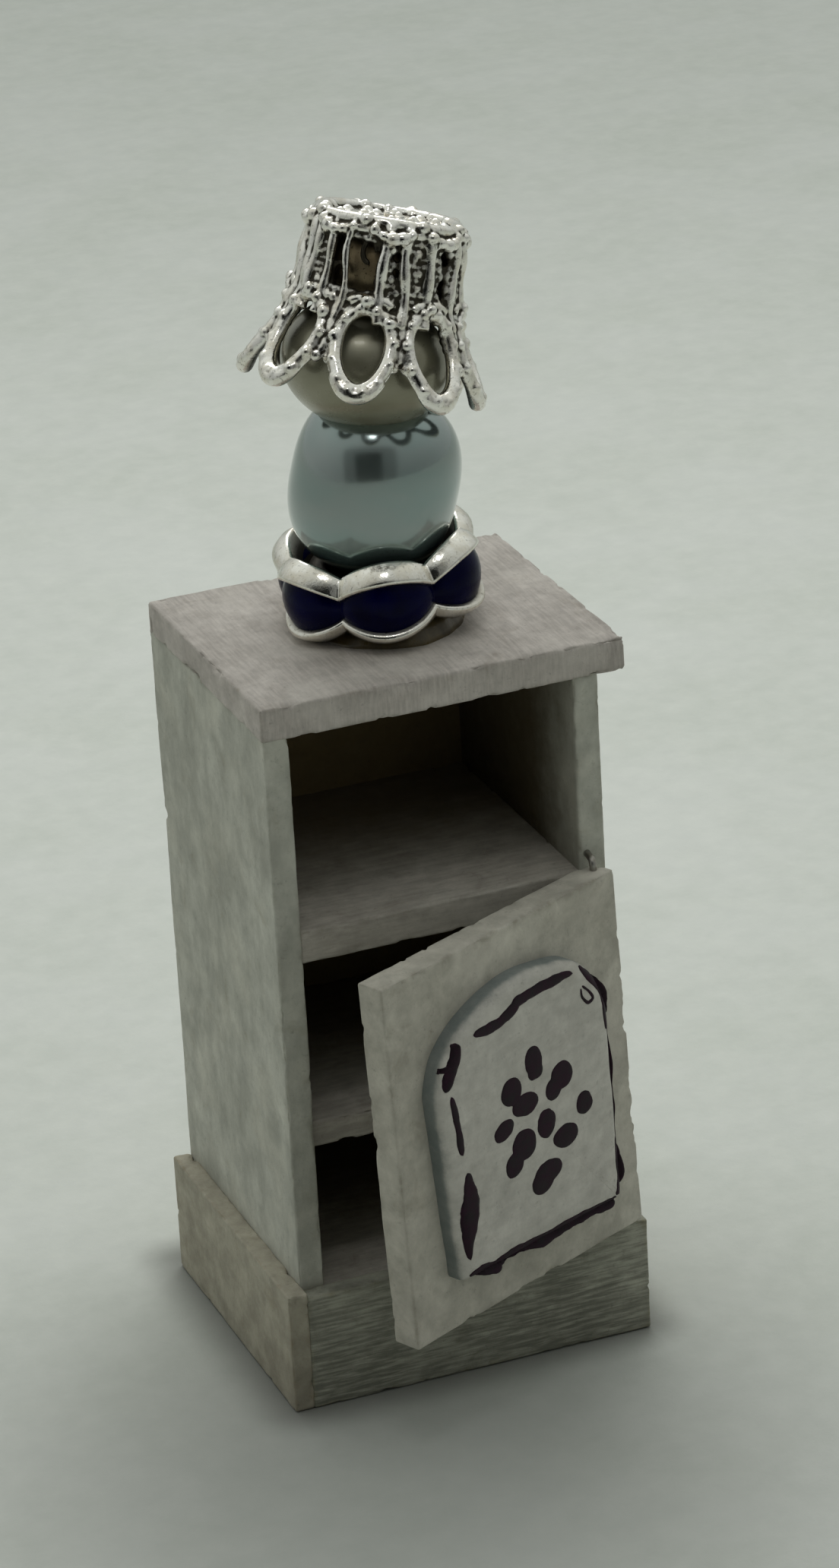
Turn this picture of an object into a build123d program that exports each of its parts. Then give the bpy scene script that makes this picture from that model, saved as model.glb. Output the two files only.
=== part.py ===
# Miniature one-door bedside cabinet in twelfth scale, with an open niche over the door and a
# bead lamp glued on its top. Millimetres, +Z up. The piece stands on z = 0 and the origin is
# the middle of its footprint with the door standing ajar, which is how it is kept.
import math
import os

from build123d import *

os.makedirs("parts", exist_ok=True)

# ---------------------------------------------------------------- driving dimensions
cabinet_x = -0.335       # centre of the carcass in the frame
cabinet_y = 5.982
half_w = 12.02           # outer half width over the two sides
half_d = 11.03           # half depth of the carcass
side_t = 1.85            # thickness of the side boards
top_t = 2.43             # thickness of the top board
height = 52.0            # floor to the top board's upper face
top_over_left = 0.10     # overhangs of the top board
top_over_right = 2.03
top_over_front = 0.06
back_t = 1.0             # back panel
niche_floor = 35.5       # upper face of the shelf under the open niche
shelf_t = 2.45
lower_shelf_top = 20.6
lower_shelf_t = 1.95
lower_shelf_set = 1.15   # how far the lower shelf sits behind the front
floor_top = 8.55         # upper face of the compartment floor
floor_t = 1.8
plinth_h = 8.7           # front plinth board
plinth_side_h = 9.05     # side plinth boards
plinth_t = 1.36
plinth_left_y = 1.34     # how far the front plinth stands proud at its left end
plinth_right_y = 1.86    # and at its right end: the strip is glued on slightly askew

door_w = 23.3
door_z0 = 8.85           # lower edge of the door
door_z1 = 36.05          # upper edge
door_t = 2.2
door_gap = 0.15          # closed door to carcass front
door_inset = 0.85        # hinge axis to the door's hinge-side edge
door_lean = 2.5          # degrees the hinge line leans to the left going up
door_open = 25.5         # degrees ajar at rest
hinge_x = 11.75          # hinge axis at the door's lower edge, from the carcass centre
pin_r = 0.25
bore_r = 0.31
pin_seat_r = 0.26
panel_t = 1.6            # raised arched panel

lamp_x = 0.95            # lamp axis on the top board, from the carcass centre
lamp_y = 0.0
lamp_turn = -20.8        # plan direction in which the lamp pieces lean, degrees
ring_tilt = 5.5          # the base ring leans one way
bead_tilt = 14.0         # the bead leans the other way
shade_tilt = 12.75       # and so does the shade, which also leans back a little
shade_back = 11.54
ring_r = 7.2
ring_mid = 55.25         # height of the ring's centre
ring_half = 2.6          # half height over the flanges
flange_t = 0.65
hole_r = 4.3
core_in = 3.45
core_out = 4.7
bead_r = 5.7             # barrel-shaped pearl: widest radius, half height and roundness
bead_half = 6.15
bead_power = 2.6
bead_z = 61.95
shade_z = 68.47          # height of the centre of the shade's lower rim
shade_h = 12.15
crown_r = 5.6
skirt_r = 8.4
petals = 8
first_petal = -91.0      # plan angle of the first petal in the shade's own frame

# ---------------------------------------------------------------- derived places
cx, cy = cabinet_x, cabinet_y
xl, xr = cx - half_w, cx + half_w
yf, yb = cy - half_d, cy + half_d
under_top = height - top_t


def slab(x0, x1, y0, y1, z0, z1):
    """A plain board between two corners, in the current part."""
    with Locations(((x0 + x1) / 2, (y0 + y1) / 2, (z0 + z1) / 2)):
        Box(x1 - x0, y1 - y0, z1 - z0)


# the leaning hinge line and the door's own plane, turned to its resting opening
lean = math.radians(door_lean)
hinge_dir = Vector(-math.sin(lean), 0, math.cos(lean))
hinge_at = Vector(cx + hinge_x, yf - door_gap - door_t / 2, door_z0)
turn_axis = Axis((0, 0, 0), tuple(hinge_dir))
door_right = Vector(1, 0, 0).rotate(turn_axis, door_open)
door_front = Vector(0, -1, 0).rotate(turn_axis, door_open)
# sketches on this plane use u = right of the hinge line's foot, v = above the lower edge
door_plane = Plane(origin=hinge_at, x_dir=door_right, z_dir=door_front)
door_h = door_z1 - door_z0


def on_hinge(v):
    """The point of the hinge line at a height of v over the door's lower edge."""
    return hinge_at + hinge_dir * (v / math.cos(lean))


# ---------------------------------------------------------------- carcass
with BuildPart() as top_board:
    slab(xl - top_over_left, xr + top_over_right, yf - top_over_front, yb - 0.1, under_top, height)
    fillet(top_board.edges().filter_by(Axis.Z), 0.5)
    fillet(top_board.faces().sort_by(Axis.Z)[-1].edges(), 0.35)

with BuildPart() as left_side:
    slab(xl, xl + side_t, yf, yb, 0, under_top)

# the right side carries the upper hinge wire in its front edge
wire_z = door_z1 + 0.72
wire_bend = on_hinge(wire_z - door_z0)
wire_in = Vector(cx + 11.05, yf + 3.4, wire_z)
wire_dir = (wire_in - wire_bend).normalized()
with BuildPart() as right_side:
    slab(xr - side_t, xr, yf, yb, 0, under_top)
    with BuildSketch(Plane(origin=wire_bend, z_dir=wire_dir)):
        Circle(pin_seat_r)
    extrude(amount=(wire_in - wire_bend).length + 0.1, mode=Mode.SUBTRACT)

with BuildPart() as back_panel:
    slab(xl + side_t, xr - side_t, yb - back_t, yb, 0, under_top)

with BuildPart() as niche_shelf:
    slab(xl + side_t, xr - side_t, yf + 0.1, yb - back_t, niche_floor - shelf_t, niche_floor)

with BuildPart() as lower_shelf:
    slab(xl + side_t, xr - side_t, yf + lower_shelf_set, yb - back_t, lower_shelf_top - lower_shelf_t, lower_shelf_top)

with BuildPart() as floor_board:
    slab(xl + side_t, xr - side_t, yf, yb - back_t, floor_top - floor_t, floor_top)

# ---------------------------------------------------------------- plinth
with BuildPart() as plinth_left:
    slab(xl - plinth_t, xl, yf - plinth_left_y, yb, 0, plinth_side_h)

with BuildPart() as plinth_right:
    slab(xr, xr + plinth_t, yf, yb, 0, plinth_side_h)

# the front strip covers the right strip's end and butts against the left strip
with BuildPart() as plinth_front:
    with BuildSketch(Plane.XY):
        with BuildLine():
            Polyline(
                (xl, yf),
                (xl, yf - plinth_left_y),
                (xr + plinth_t, yf - plinth_right_y),
                (xr + plinth_t, yf),
                close=True,
            )
        make_face()
    extrude(amount=plinth_h)
    with BuildSketch(Plane(origin=on_hinge(-3.4), z_dir=hinge_dir)):
        Circle(pin_seat_r)
    extrude(amount=3.6, mode=Mode.SUBTRACT)

# ---------------------------------------------------------------- door
shift = math.tan(lean) * door_h
with BuildPart() as door:
    with BuildSketch(door_plane.offset(-door_t / 2)):
        with BuildLine():
            Polyline(
                (door_inset, 0),
                (door_inset - shift, door_h),
                (door_inset - shift - door_w, door_h),
                (door_inset - door_w, 0),
                close=True,
            )
        make_face()
    extrude(amount=door_t)
    # round the hinge-side edges so that the door turns clear of the carcass
    hinge_side = door.edges().filter_by(lambda e: abs(e.length - door_h / math.cos(lean)) < 0.01)
    by_reach = hinge_side.sort_by_distance(tuple(on_hinge(door_h / 2)))
    near = [e for e in by_reach[:2]]
    near.sort(key=lambda e: (e.center() - hinge_at).dot(door_front))
    fillet(near[0], 0.62)
    near = [
        e
        for e in door.edges()
        if abs(e.length - door_h / math.cos(lean)) < 0.05
        and (e.center() - hinge_at).dot(door_front) > door_t / 2 - 0.01
    ]
    near.sort(key=lambda e: (e.center() - hinge_at).dot(door_right))
    fillet(near[-1], 0.3)
    # pin holes in the lower and upper edges, on the hinge line
    with BuildSketch(Plane(origin=on_hinge(-0.5), z_dir=hinge_dir)):
        Circle(bore_r)
    extrude(amount=4.1, mode=Mode.SUBTRACT)
    with BuildSketch(Plane(origin=on_hinge(door_h + 0.5), z_dir=-hinge_dir)):
        Circle(bore_r)
    extrude(amount=4.1, mode=Mode.SUBTRACT)

# arched raised panel glued on the door's face; outline as offsets from the carcass centre
panel_pts = [
    (8.55, 27.2),
    (7.75, 29.35),
    (6.55, 31.0),
    (4.6, 32.2),
    (0.7, 32.85),
    (-2.2, 32.65),
    (-5.0, 31.75),
    (-6.85, 30.6),
    (-8.0, 29.3),
    (-8.75, 27.2),
]
with BuildPart() as door_panel:
    with BuildSketch(door_plane.offset(door_t / 2)):
        with BuildLine():
            bottom = Line((-7.35 - hinge_x, 12.95 - door_z0), (9.0 - hinge_x, 12.55 - door_z0))
            right_edge = Line(bottom @ 1, (8.55 - hinge_x, 27.2 - door_z0))
            arch = Spline(*[(x - hinge_x, z - door_z0) for x, z in panel_pts])
            left_edge = Line(arch @ 1, bottom @ 0)
        make_face()
    extrude(amount=panel_t)
    rim = [
        e
        for e in door_panel.edges()
        if abs((e @ 0 - hinge_at).dot(door_front) - door_t / 2 - panel_t) < 0.01
        and abs((e @ 1 - hinge_at).dot(door_front) - door_t / 2 - panel_t) < 0.01
    ]
    chamfer(rim, 0.45)

# ---------------------------------------------------------------- hinge pins
with BuildPart() as hinge_pin_bottom:
    with BuildSketch(Plane(origin=on_hinge(-3.35), z_dir=hinge_dir)):
        Circle(pin_r)
    extrude(amount=3.35 + 3.3)

with BuildPart() as hinge_pin_top:
    with BuildLine() as wire:
        FilletPolyline(tuple(wire_in), tuple(wire_bend), tuple(on_hinge(door_h - 3.3)), radius=0.45)
    with BuildSketch(Plane(origin=wire_in, z_dir=-wire_dir)):
        Circle(pin_r)
    sweep(path=wire.line)

# ---------------------------------------------------------------- lamp
turn = math.radians(lamp_turn)
side_dir = Vector(math.cos(turn), math.sin(turn), 0)
lamp_at = Vector(cx + lamp_x, cy + lamp_y, 0)


def leaning(tilt):
    """Unit vector leaning towards side_dir by tilt degrees."""
    a = math.radians(tilt)
    return side_dir * math.sin(a) + Vector(0, 0, math.cos(a))


ring_up = leaning(-ring_tilt)
ring_c = lamp_at + Vector(0, 0, ring_mid)
ring_plane = Plane(origin=ring_c, x_dir=side_dir.cross(ring_up).cross(ring_up) * -1, z_dir=ring_up)
away_dir = Vector(-side_dir.Y, side_dir.X, 0)
bead_up = leaning(bead_tilt)
bead_c = lamp_at + side_dir * 0.055 + Vector(0, 0, bead_z)
tilt_side = math.sin(math.radians(shade_tilt))
tilt_back = math.sin(math.radians(shade_back))
shade_up = (
    side_dir * tilt_side
    + away_dir * tilt_back
    + Vector(0, 0, math.sqrt(1 - tilt_side**2 - tilt_back**2))
).normalized()
shade_c = lamp_at + side_dir * -0.585 + away_dir * -0.44 + Vector(0, 0, shade_z)
shade_plane = Plane(origin=shade_c, x_dir=side_dir.cross(shade_up).cross(shade_up) * -1, z_dir=shade_up)

# the lamp's pin runs up through the pearl, bends in the upper bead and follows the shade's axis
pin_foot = lamp_at + Vector(0, 0, height + 0.75)
upper_rx, upper_rz, upper_s = 5.7, 4.5, 2.1
pin_bend = shade_c + shade_up * upper_s
pin_up = (pin_bend - pin_foot).normalized()


def pearl_profile(grow):
    """Outline of the barrel-shaped pearl from its lower to its upper flat, as (radius, height)."""
    points = []
    for k in range(23):
        t = math.radians(4 + 172 * (22 - k) / 22)
        points.append(
            (
                (bead_r + grow) * math.sin(t) ** (2 / bead_power),
                (bead_half + grow) * math.copysign(abs(math.cos(t)) ** (2 / bead_power), math.cos(t)),
            )
        )
    return points


bead_x = side_dir.cross(bead_up).cross(bead_up) * -1
bead_section = Plane(origin=bead_c, x_dir=bead_x, z_dir=bead_x.cross(bead_up))


# half sections of the pearl and of the seat that it presses into the bead above
with BuildSketch(bead_section) as pearl_half:
    with BuildLine():
        wall = Spline(*pearl_profile(0.0))
        Polyline(wall @ 1, (0, (wall @ 1).Y), (0, (wall @ 0).Y), wall @ 0)
    make_face()
with BuildSketch(bead_section) as seat_half:
    with BuildLine():
        wall = Spline(*pearl_profile(0.03))
        Polyline(wall @ 1, (0, (wall @ 1).Y), (0, (wall @ 0).Y), wall @ 0)
    make_face()

# wedge of glue that the tilted ring sits in
with BuildPart() as lamp_glue:
    with BuildSketch(Plane.XY.offset(height)):
        with Locations((lamp_at.X, lamp_at.Y)):
            Circle(5.7)
    extrude(amount=3)
    split(bisect_by=ring_plane.offset(-ring_half), keep=Keep.BOTTOM)

# scalloped flanges of the ring, six lobes each
first_lobe = -85.0
lobe = 5.05


def scallops():
    """Six-lobed outline of a flange, in the current sketch."""
    with PolarLocations(ring_r - 3.3, 6, start_angle=first_lobe):
        Circle(3.3)
    Circle(ring_r - 1.3)


with BuildPart() as rondelle_bottom_flange:
    with BuildSketch(ring_plane.offset(-ring_half)):
        scallops()
        Circle(hole_r, mode=Mode.SUBTRACT)
    extrude(amount=flange_t)

with BuildPart() as rondelle_top_flange:
    with BuildSketch(ring_plane.offset(ring_half - flange_t)):
        scallops()
        Circle(hole_r, mode=Mode.SUBTRACT)
    extrude(amount=flange_t)
    revolve(seat_half.sketch, axis=Axis(bead_c, bead_up), mode=Mode.SUBTRACT)

# the core and the upper flange are countersunk where the pearl sits in them
with BuildPart() as rondelle_core:
    with BuildSketch(ring_plane.offset(-ring_half + flange_t)):
        Circle(core_out)
        Circle(core_in, mode=Mode.SUBTRACT)
    extrude(amount=2 * (ring_half - flange_t))
    revolve(seat_half.sketch, axis=Axis(bead_c, bead_up), mode=Mode.SUBTRACT)

with BuildPart() as rondelle_stones:
    with BuildSketch(ring_plane.offset(-ring_half + flange_t)):
        with PolarLocations(ring_r - 3.3, 6, start_angle=first_lobe):
            Circle(3.1)
        Circle(core_out, mode=Mode.SUBTRACT)
        with PolarLocations(6.0, 6, start_angle=first_lobe + 30):
            Rectangle(5.0, 0.35, mode=Mode.SUBTRACT)
    extrude(amount=2 * (ring_half - flange_t))

# pearl bead with its bore
with BuildPart() as lamp_bead:
    revolve(pearl_half.sketch, axis=Axis(bead_c, bead_up))
    with BuildSketch(Plane(origin=bead_c - pin_up * (bead_half + 2), z_dir=pin_up)):
        Circle(0.5)
    extrude(amount=2 * bead_half + 4, mode=Mode.SUBTRACT)

# smoked glass bead inside the shade, hollowed below where it sits on the pearl
upper_plane = Plane(origin=shade_c + shade_up * upper_s, x_dir=shade_plane.x_dir, z_dir=shade_up)
section = Plane(origin=upper_plane.origin, x_dir=upper_plane.x_dir, z_dir=upper_plane.x_dir.cross(shade_up))
with BuildPart() as lamp_upper_bead:
    with BuildSketch(section):
        Ellipse(upper_rx, upper_rz)
        with Locations((-upper_rx, 0)):
            Rectangle(2 * upper_rx, 4 * upper_rz, mode=Mode.SUBTRACT)
    revolve(axis=Axis(upper_plane.origin, shade_up))
    revolve(seat_half.sketch, axis=Axis(bead_c, bead_up), mode=Mode.SUBTRACT)
    with BuildSketch(upper_plane.offset(-6)):
        Circle(1.55)
    extrude(amount=12, mode=Mode.SUBTRACT)

# pierced metal cap that makes the shade: straight crown, flared petals
with BuildPart() as lamp_shade:
    shade_section = Plane(origin=shade_c, x_dir=shade_plane.x_dir, z_dir=shade_plane.x_dir.cross(shade_up))
    with BuildSketch(shade_section):
        with BuildLine():
            Polyline(
                (skirt_r, 0.0),
                (7.85, 1.9),
                (7.05, 3.4),
                (6.3, 5.0),
                (5.8, 6.6),
                (crown_r, 8.4),
                (crown_r - 0.1, 10.8),
                (5.05, 11.7),
                (4.55, shade_h),
                (0.75, shade_h),
                (0.75, shade_h - 0.5),
                (4.2, shade_h - 0.5),
                (4.5, 11.35),
                (crown_r - 0.7, 10.6),
                (crown_r - 0.6, 8.3),
                (5.2, 6.4),
                (5.7, 4.8),
                (6.45, 3.1),
                (7.2, 1.7),
                (skirt_r - 0.65, 0.0),
                close=True,
            )
        make_face()
    revolve(axis=Axis(shade_c, shade_up))
    # eight windows in the crown, wide and narrow by turns, over the gaps between the petals,
    # and an oval opening in each of the eight petals
    for k in range(petals):
        a = math.radians(first_petal + 360 / petals * (k + 0.5))
        out = shade_plane.x_dir * math.cos(a) + shade_plane.y_dir * math.sin(a)
        with BuildSketch(Plane(origin=shade_c + shade_up * 8.8, x_dir=out.cross(shade_up), z_dir=out)):
            RectangleRounded(3.4 if k % 2 else 1.9, 4.0, 0.8)
        extrude(amount=9, mode=Mode.SUBTRACT)
        # notch between two petals
        with BuildSketch(Plane(origin=shade_c, x_dir=out.cross(shade_up), z_dir=out)):
            with BuildLine():
                Polyline((-1.15, -0.2), (1.15, -0.2), (0, 2.5), close=True)
            make_face()
        extrude(amount=12, mode=Mode.SUBTRACT)
        b = math.radians(first_petal + 360 / petals * k)
        out_b = shade_plane.x_dir * math.cos(b) + shade_plane.y_dir * math.sin(b)
        with BuildSketch(Plane(origin=shade_c + shade_up * 3.5, x_dir=out_b.cross(shade_up), z_dir=out_b)):
            Ellipse(1.6, 2.3)
        extrude(amount=12, mode=Mode.SUBTRACT)

# pin that the lamp's beads are threaded on: flat head in the glue, tip in the crown's hole
with BuildPart() as lamp_pin:
    with BuildLine():
        run = Polyline(pin_foot, pin_bend, shade_c + shade_up * (shade_h - 0.1))
        fillet(run.vertices().sort_by_distance(pin_bend)[0], radius=8)
    with BuildSketch(Plane(origin=pin_foot, z_dir=pin_up)):
        Circle(0.38)
    sweep()
    with BuildSketch(Plane(origin=pin_foot, z_dir=pin_up)):
        Circle(1.1)
    extrude(amount=0.35)

# ---------------------------------------------------------------- export
pieces = {
    "top_board": top_board,
    "left_side": left_side,
    "right_side": right_side,
    "back_panel": back_panel,
    "niche_shelf": niche_shelf,
    "lower_shelf": lower_shelf,
    "floor_board": floor_board,
    "plinth_front": plinth_front,
    "plinth_left": plinth_left,
    "plinth_right": plinth_right,
    "door": door,
    "door_panel": door_panel,
    "hinge_pin_top": hinge_pin_top,
    "hinge_pin_bottom": hinge_pin_bottom,
    "lamp_glue": lamp_glue,
    "rondelle_bottom_flange": rondelle_bottom_flange,
    "rondelle_top_flange": rondelle_top_flange,
    "rondelle_core": rondelle_core,
    "rondelle_stones": rondelle_stones,
    "lamp_bead": lamp_bead,
    "lamp_upper_bead": lamp_upper_bead,
    "lamp_shade": lamp_shade,
    "lamp_pin": lamp_pin,
}
low = [1e9] * 3
high = [-1e9] * 3
for label, piece in pieces.items():
    piece.part.label = label
    export_step(piece.part, f"parts/{label}.step")
    bb = piece.part.bounding_box()
    low = [min(a, b) for a, b in zip(low, (bb.min.X, bb.min.Y, bb.min.Z))]
    high = [max(a, b) for a, b in zip(high, (bb.max.X, bb.max.Y, bb.max.Z))]
print("box", [round(v, 3) for v in low], [round(v, 3) for v in high])
print("centre", round((low[0] + high[0]) / 2, 3), round((low[1] + high[1]) / 2, 3))
print("hinge at", [round(v, 5) for v in hinge_at], "direction", [round(v, 6) for v in hinge_dir])
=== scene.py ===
import math

import bmesh
import bpy
import numpy as np
from mathutils import Matrix, Vector


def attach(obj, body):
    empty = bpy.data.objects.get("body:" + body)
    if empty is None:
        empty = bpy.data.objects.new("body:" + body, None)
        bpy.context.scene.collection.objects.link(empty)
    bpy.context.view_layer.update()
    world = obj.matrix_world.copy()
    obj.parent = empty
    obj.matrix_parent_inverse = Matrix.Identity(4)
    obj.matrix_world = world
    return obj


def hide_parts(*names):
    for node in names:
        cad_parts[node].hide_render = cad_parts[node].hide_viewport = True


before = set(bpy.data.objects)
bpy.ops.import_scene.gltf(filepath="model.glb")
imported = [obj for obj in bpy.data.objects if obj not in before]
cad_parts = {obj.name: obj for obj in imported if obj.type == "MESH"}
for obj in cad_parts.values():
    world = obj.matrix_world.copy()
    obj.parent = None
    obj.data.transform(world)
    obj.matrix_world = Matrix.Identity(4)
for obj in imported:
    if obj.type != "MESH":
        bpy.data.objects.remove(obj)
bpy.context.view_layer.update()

scene = bpy.context.scene
MM = 0.001

# ---------------------------------------------------------------- places, mm
CX, CY = -0.335, 5.982                      # middle of the cabinet's carcass
XL, XR = CX - 12.02, CX + 12.02             # outer faces of the sides
YF, YB = CY - 11.03, CY + 11.03             # front edges and back
HINGE = np.array([11.415, -6.298, 8.85])
HINGE_DIR = np.array([-0.04361939, 0.0, 0.99904822])
AJAR = math.radians(25.5)
LAMP = np.array([CX + 0.95, CY, 0.0])
SIDE = np.array([math.cos(math.radians(-20.8)), math.sin(math.radians(-20.8)), 0.0])
AWAY = np.array([-SIDE[1], SIDE[0], 0.0])


def turn(v, axis, angle):
    c, s = math.cos(angle), math.sin(angle)
    return v * c + np.cross(axis, v) * s + axis * (axis @ v) * (1 - c)


DOOR_X = turn(np.array([1.0, 0, 0]), HINGE_DIR, AJAR)
DOOR_N = turn(np.array([0, -1.0, 0]), HINGE_DIR, AJAR)
DOOR_Y = np.cross(DOOR_N, DOOR_X)


def leaning(degrees):
    t = math.radians(degrees)
    return SIDE * math.sin(t) + np.array([0, 0, math.cos(t)])


def axes(up):
    """x along SIDE as seen, y away from the viewer, z = up."""
    x = SIDE - up * (SIDE @ up)
    x /= np.linalg.norm(x)
    return np.stack([x, np.cross(up, x), up])


# ---------------------------------------------------------------- noise
class Noise:
    def __init__(self, seed):
        self.g = np.random.default_rng(seed).random((48, 48, 48)) * 2 - 1

    def at(self, p):
        p = np.asarray(p, float)
        i = np.floor(p).astype(int)
        f = p - i
        f = f * f * (3 - 2 * f)
        out = 0
        for a in (0, 1):
            wa = f[:, 0] if a else 1 - f[:, 0]
            for b in (0, 1):
                wb = f[:, 1] if b else 1 - f[:, 1]
                for c in (0, 1):
                    wc = f[:, 2] if c else 1 - f[:, 2]
                    out = out + wa * wb * wc * self.g[(i[:, 0] + a) % 48, (i[:, 1] + b) % 48, (i[:, 2] + c) % 48]
        return out

    def fbm(self, p, octaves=4, gain=0.5):
        total, amp, norm = 0, 1.0, 0.0
        p = np.asarray(p, float)
        for _ in range(octaves):
            total = total + amp * self.at(p)
            norm += amp
            p = p * 2.03 + 7.7
            amp *= gain
        return total / norm


# ---------------------------------------------------------------- meshes
def make(name, verts_mm, faces, mat, body="root", replaces=(), slot=None, attrs=None, smooth=True):
    me = bpy.data.meshes.new(name)
    me.from_pydata((np.asarray(verts_mm) * MM).tolist(), [], [tuple(int(i) for i in f) for f in faces])
    me.validate()
    me.update()
    if attrs:
        for key, val in attrs.items():
            a = me.attributes.new(key, "FLOAT", "POINT")
            a.data.foreach_set("value", np.asarray(val, np.float32))
    me.polygons.foreach_set("use_smooth", [smooth] * len(me.polygons))
    ob = bpy.data.objects.new(name, me)
    scene.collection.objects.link(ob)
    for m in (mat if isinstance(mat, (list, tuple)) else [mat]):
        me.materials.append(m)
    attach(ob, body)
    if replaces:
        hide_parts(*replaces)
    return ob


def spacing(lo, hi, h):
    L = hi - lo
    fine = [f for f in (0, .05, .11, .18, .27, .38, .52, .7, .92, 1.18) if f < L * 0.42]
    mid = L - 2 * fine[-1]
    n = max(1, int(round(mid / h)))
    return np.array(fine + [fine[-1] + mid * k / n for k in range(1, n)] + [L - f for f in reversed(fine)]) + lo


def lattice(xs, ys, zs):
    nx, ny, nz = len(xs), len(ys), len(zs)
    I, J, K = np.meshgrid(np.arange(nx), np.arange(ny), np.arange(nz), indexing="ij")
    m = (I == 0) | (I == nx - 1) | (J == 0) | (J == ny - 1) | (K == 0) | (K == nz - 1)
    idx = -np.ones((nx, ny, nz), int)
    idx[m] = np.arange(m.sum())
    P = np.c_[xs[I[m]], ys[J[m]], zs[K[m]]]

    def quads(A, flip):
        q = np.stack([A[:-1, :-1], A[1:, :-1], A[1:, 1:], A[:-1, 1:]], -1).reshape(-1, 4)
        return q[:, ::-1] if flip else q

    F = np.concatenate([quads(idx[0], True), quads(idx[-1], False), quads(idx[:, 0], False),
                        quads(idx[:, -1], True), quads(idx[:, :, 0], True), quads(idx[:, :, -1], False)])
    return P, F


def board(name, lo, hi, mat, seed, h=.34, r=.2, wob=.05, chip=.3, warp=None, place=None, radius=None, nibble=.8,
          inner=0, **kw):
    """A hand-cut board: dense lattice, softened and nibbled edges, slightly uneven faces."""
    lo, hi = np.array(lo, float), np.array(hi, float)
    P, F = lattice(*[spacing(lo[k], hi[k], h) for k in range(3)])
    n = Noise(seed)
    rr = r * (1 + .45 * n.fbm(P * .55, 3))
    if radius is not None:
        rr = np.maximum(rr, radius(P))
    rr = np.minimum(rr, (hi - lo).min() * .45)[:, None]
    Q = np.minimum(np.maximum(P, lo + rr), hi - rr)
    D = P - Q
    ln = np.linalg.norm(D, axis=1)[:, None]
    N = D / np.maximum(ln, 1e-9)
    gap = np.sort(np.minimum(P - lo, hi - P), axis=1)
    e = gap[:, 1]
    P2 = Q + N * rr
    worn = np.clip(n.fbm(P * nibble + 11.3, 3) * 1.5 + .28 * n.at(P * 3.1) - .22, 0, 1)
    P2 -= N * (chip * worn * np.exp(-(e / .5) ** 2))[:, None]
    P2 += N * (wob * n.fbm(P * .11 + 3.1, 2) + wob * .28 * n.fbm(P * .8 + 5.2, 3) - .3 * wob)[:, None]
    if warp is not None:
        P2 = warp(P2)
    edge = np.exp(-(e / .42)) * np.clip(.45 + .9 * n.fbm(P * .7 + 2.2, 3) + .5 * worn, 0, 1)
    if place is not None:
        P2 = place(P2)
    attrs = {"edge": edge}
    if inner:                                            # which face looks into the cupboard
        attrs["inside"] = ((P[:, 0] > hi[0] - .06) if inner > 0 else (P[:, 0] < lo[0] + .06)) * np.clip((P[:, 1] - lo[1]) / .5, 0, 1)
    return make(name, P2, F, mat, attrs=attrs, **kw)


def lathe(name, profile, mat, place, n=96, closed=True, wob=None, attrs=None, **kw):
    prof = np.array(profile, float)
    m = len(prof)
    a = np.arange(n) / n * 2 * math.pi
    V = np.stack([np.outer(np.cos(a), prof[:, 0]), np.outer(np.sin(a), prof[:, 0]),
                  np.outer(np.ones(n), prof[:, 1])], -1)
    if wob is not None:
        V = wob(V)
    F = []
    for i in range(n):
        for j in range(m if closed else m - 1):
            F.append((i * m + j, ((i + 1) % n) * m + j, ((i + 1) % n) * m + (j + 1) % m, i * m + (j + 1) % m))
    V = V.reshape(-1, 3)
    return make(name, place(V), F, mat, attrs=attrs, **kw)


def grid_loop(rows):
    """Faces for stacked closed rings of equal length."""
    R, n = rows
    return [(i * n + j, i * n + (j + 1) % n, (i + 1) * n + (j + 1) % n, (i + 1) * n + j)
            for i in range(R - 1) for j in range(n)]


def spline(points, per):
    """Catmull-Rom through rows of numbers."""
    p = np.array(points, float)
    p = np.vstack([2 * p[0] - p[1], p, 2 * p[-1] - p[-2]])
    out = []
    for i in range(1, len(p) - 2):
        for k in range(per):
            t = k / per
            a, b, c, d = p[i - 1], p[i], p[i + 1], p[i + 2]
            out.append(.5 * (2 * b + (c - a) * t + (2 * a - 5 * b + 4 * c - d) * t * t + (3 * b - 3 * c + d - a) * t ** 3))
    out.append(p[-2])
    return np.array(out)


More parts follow.
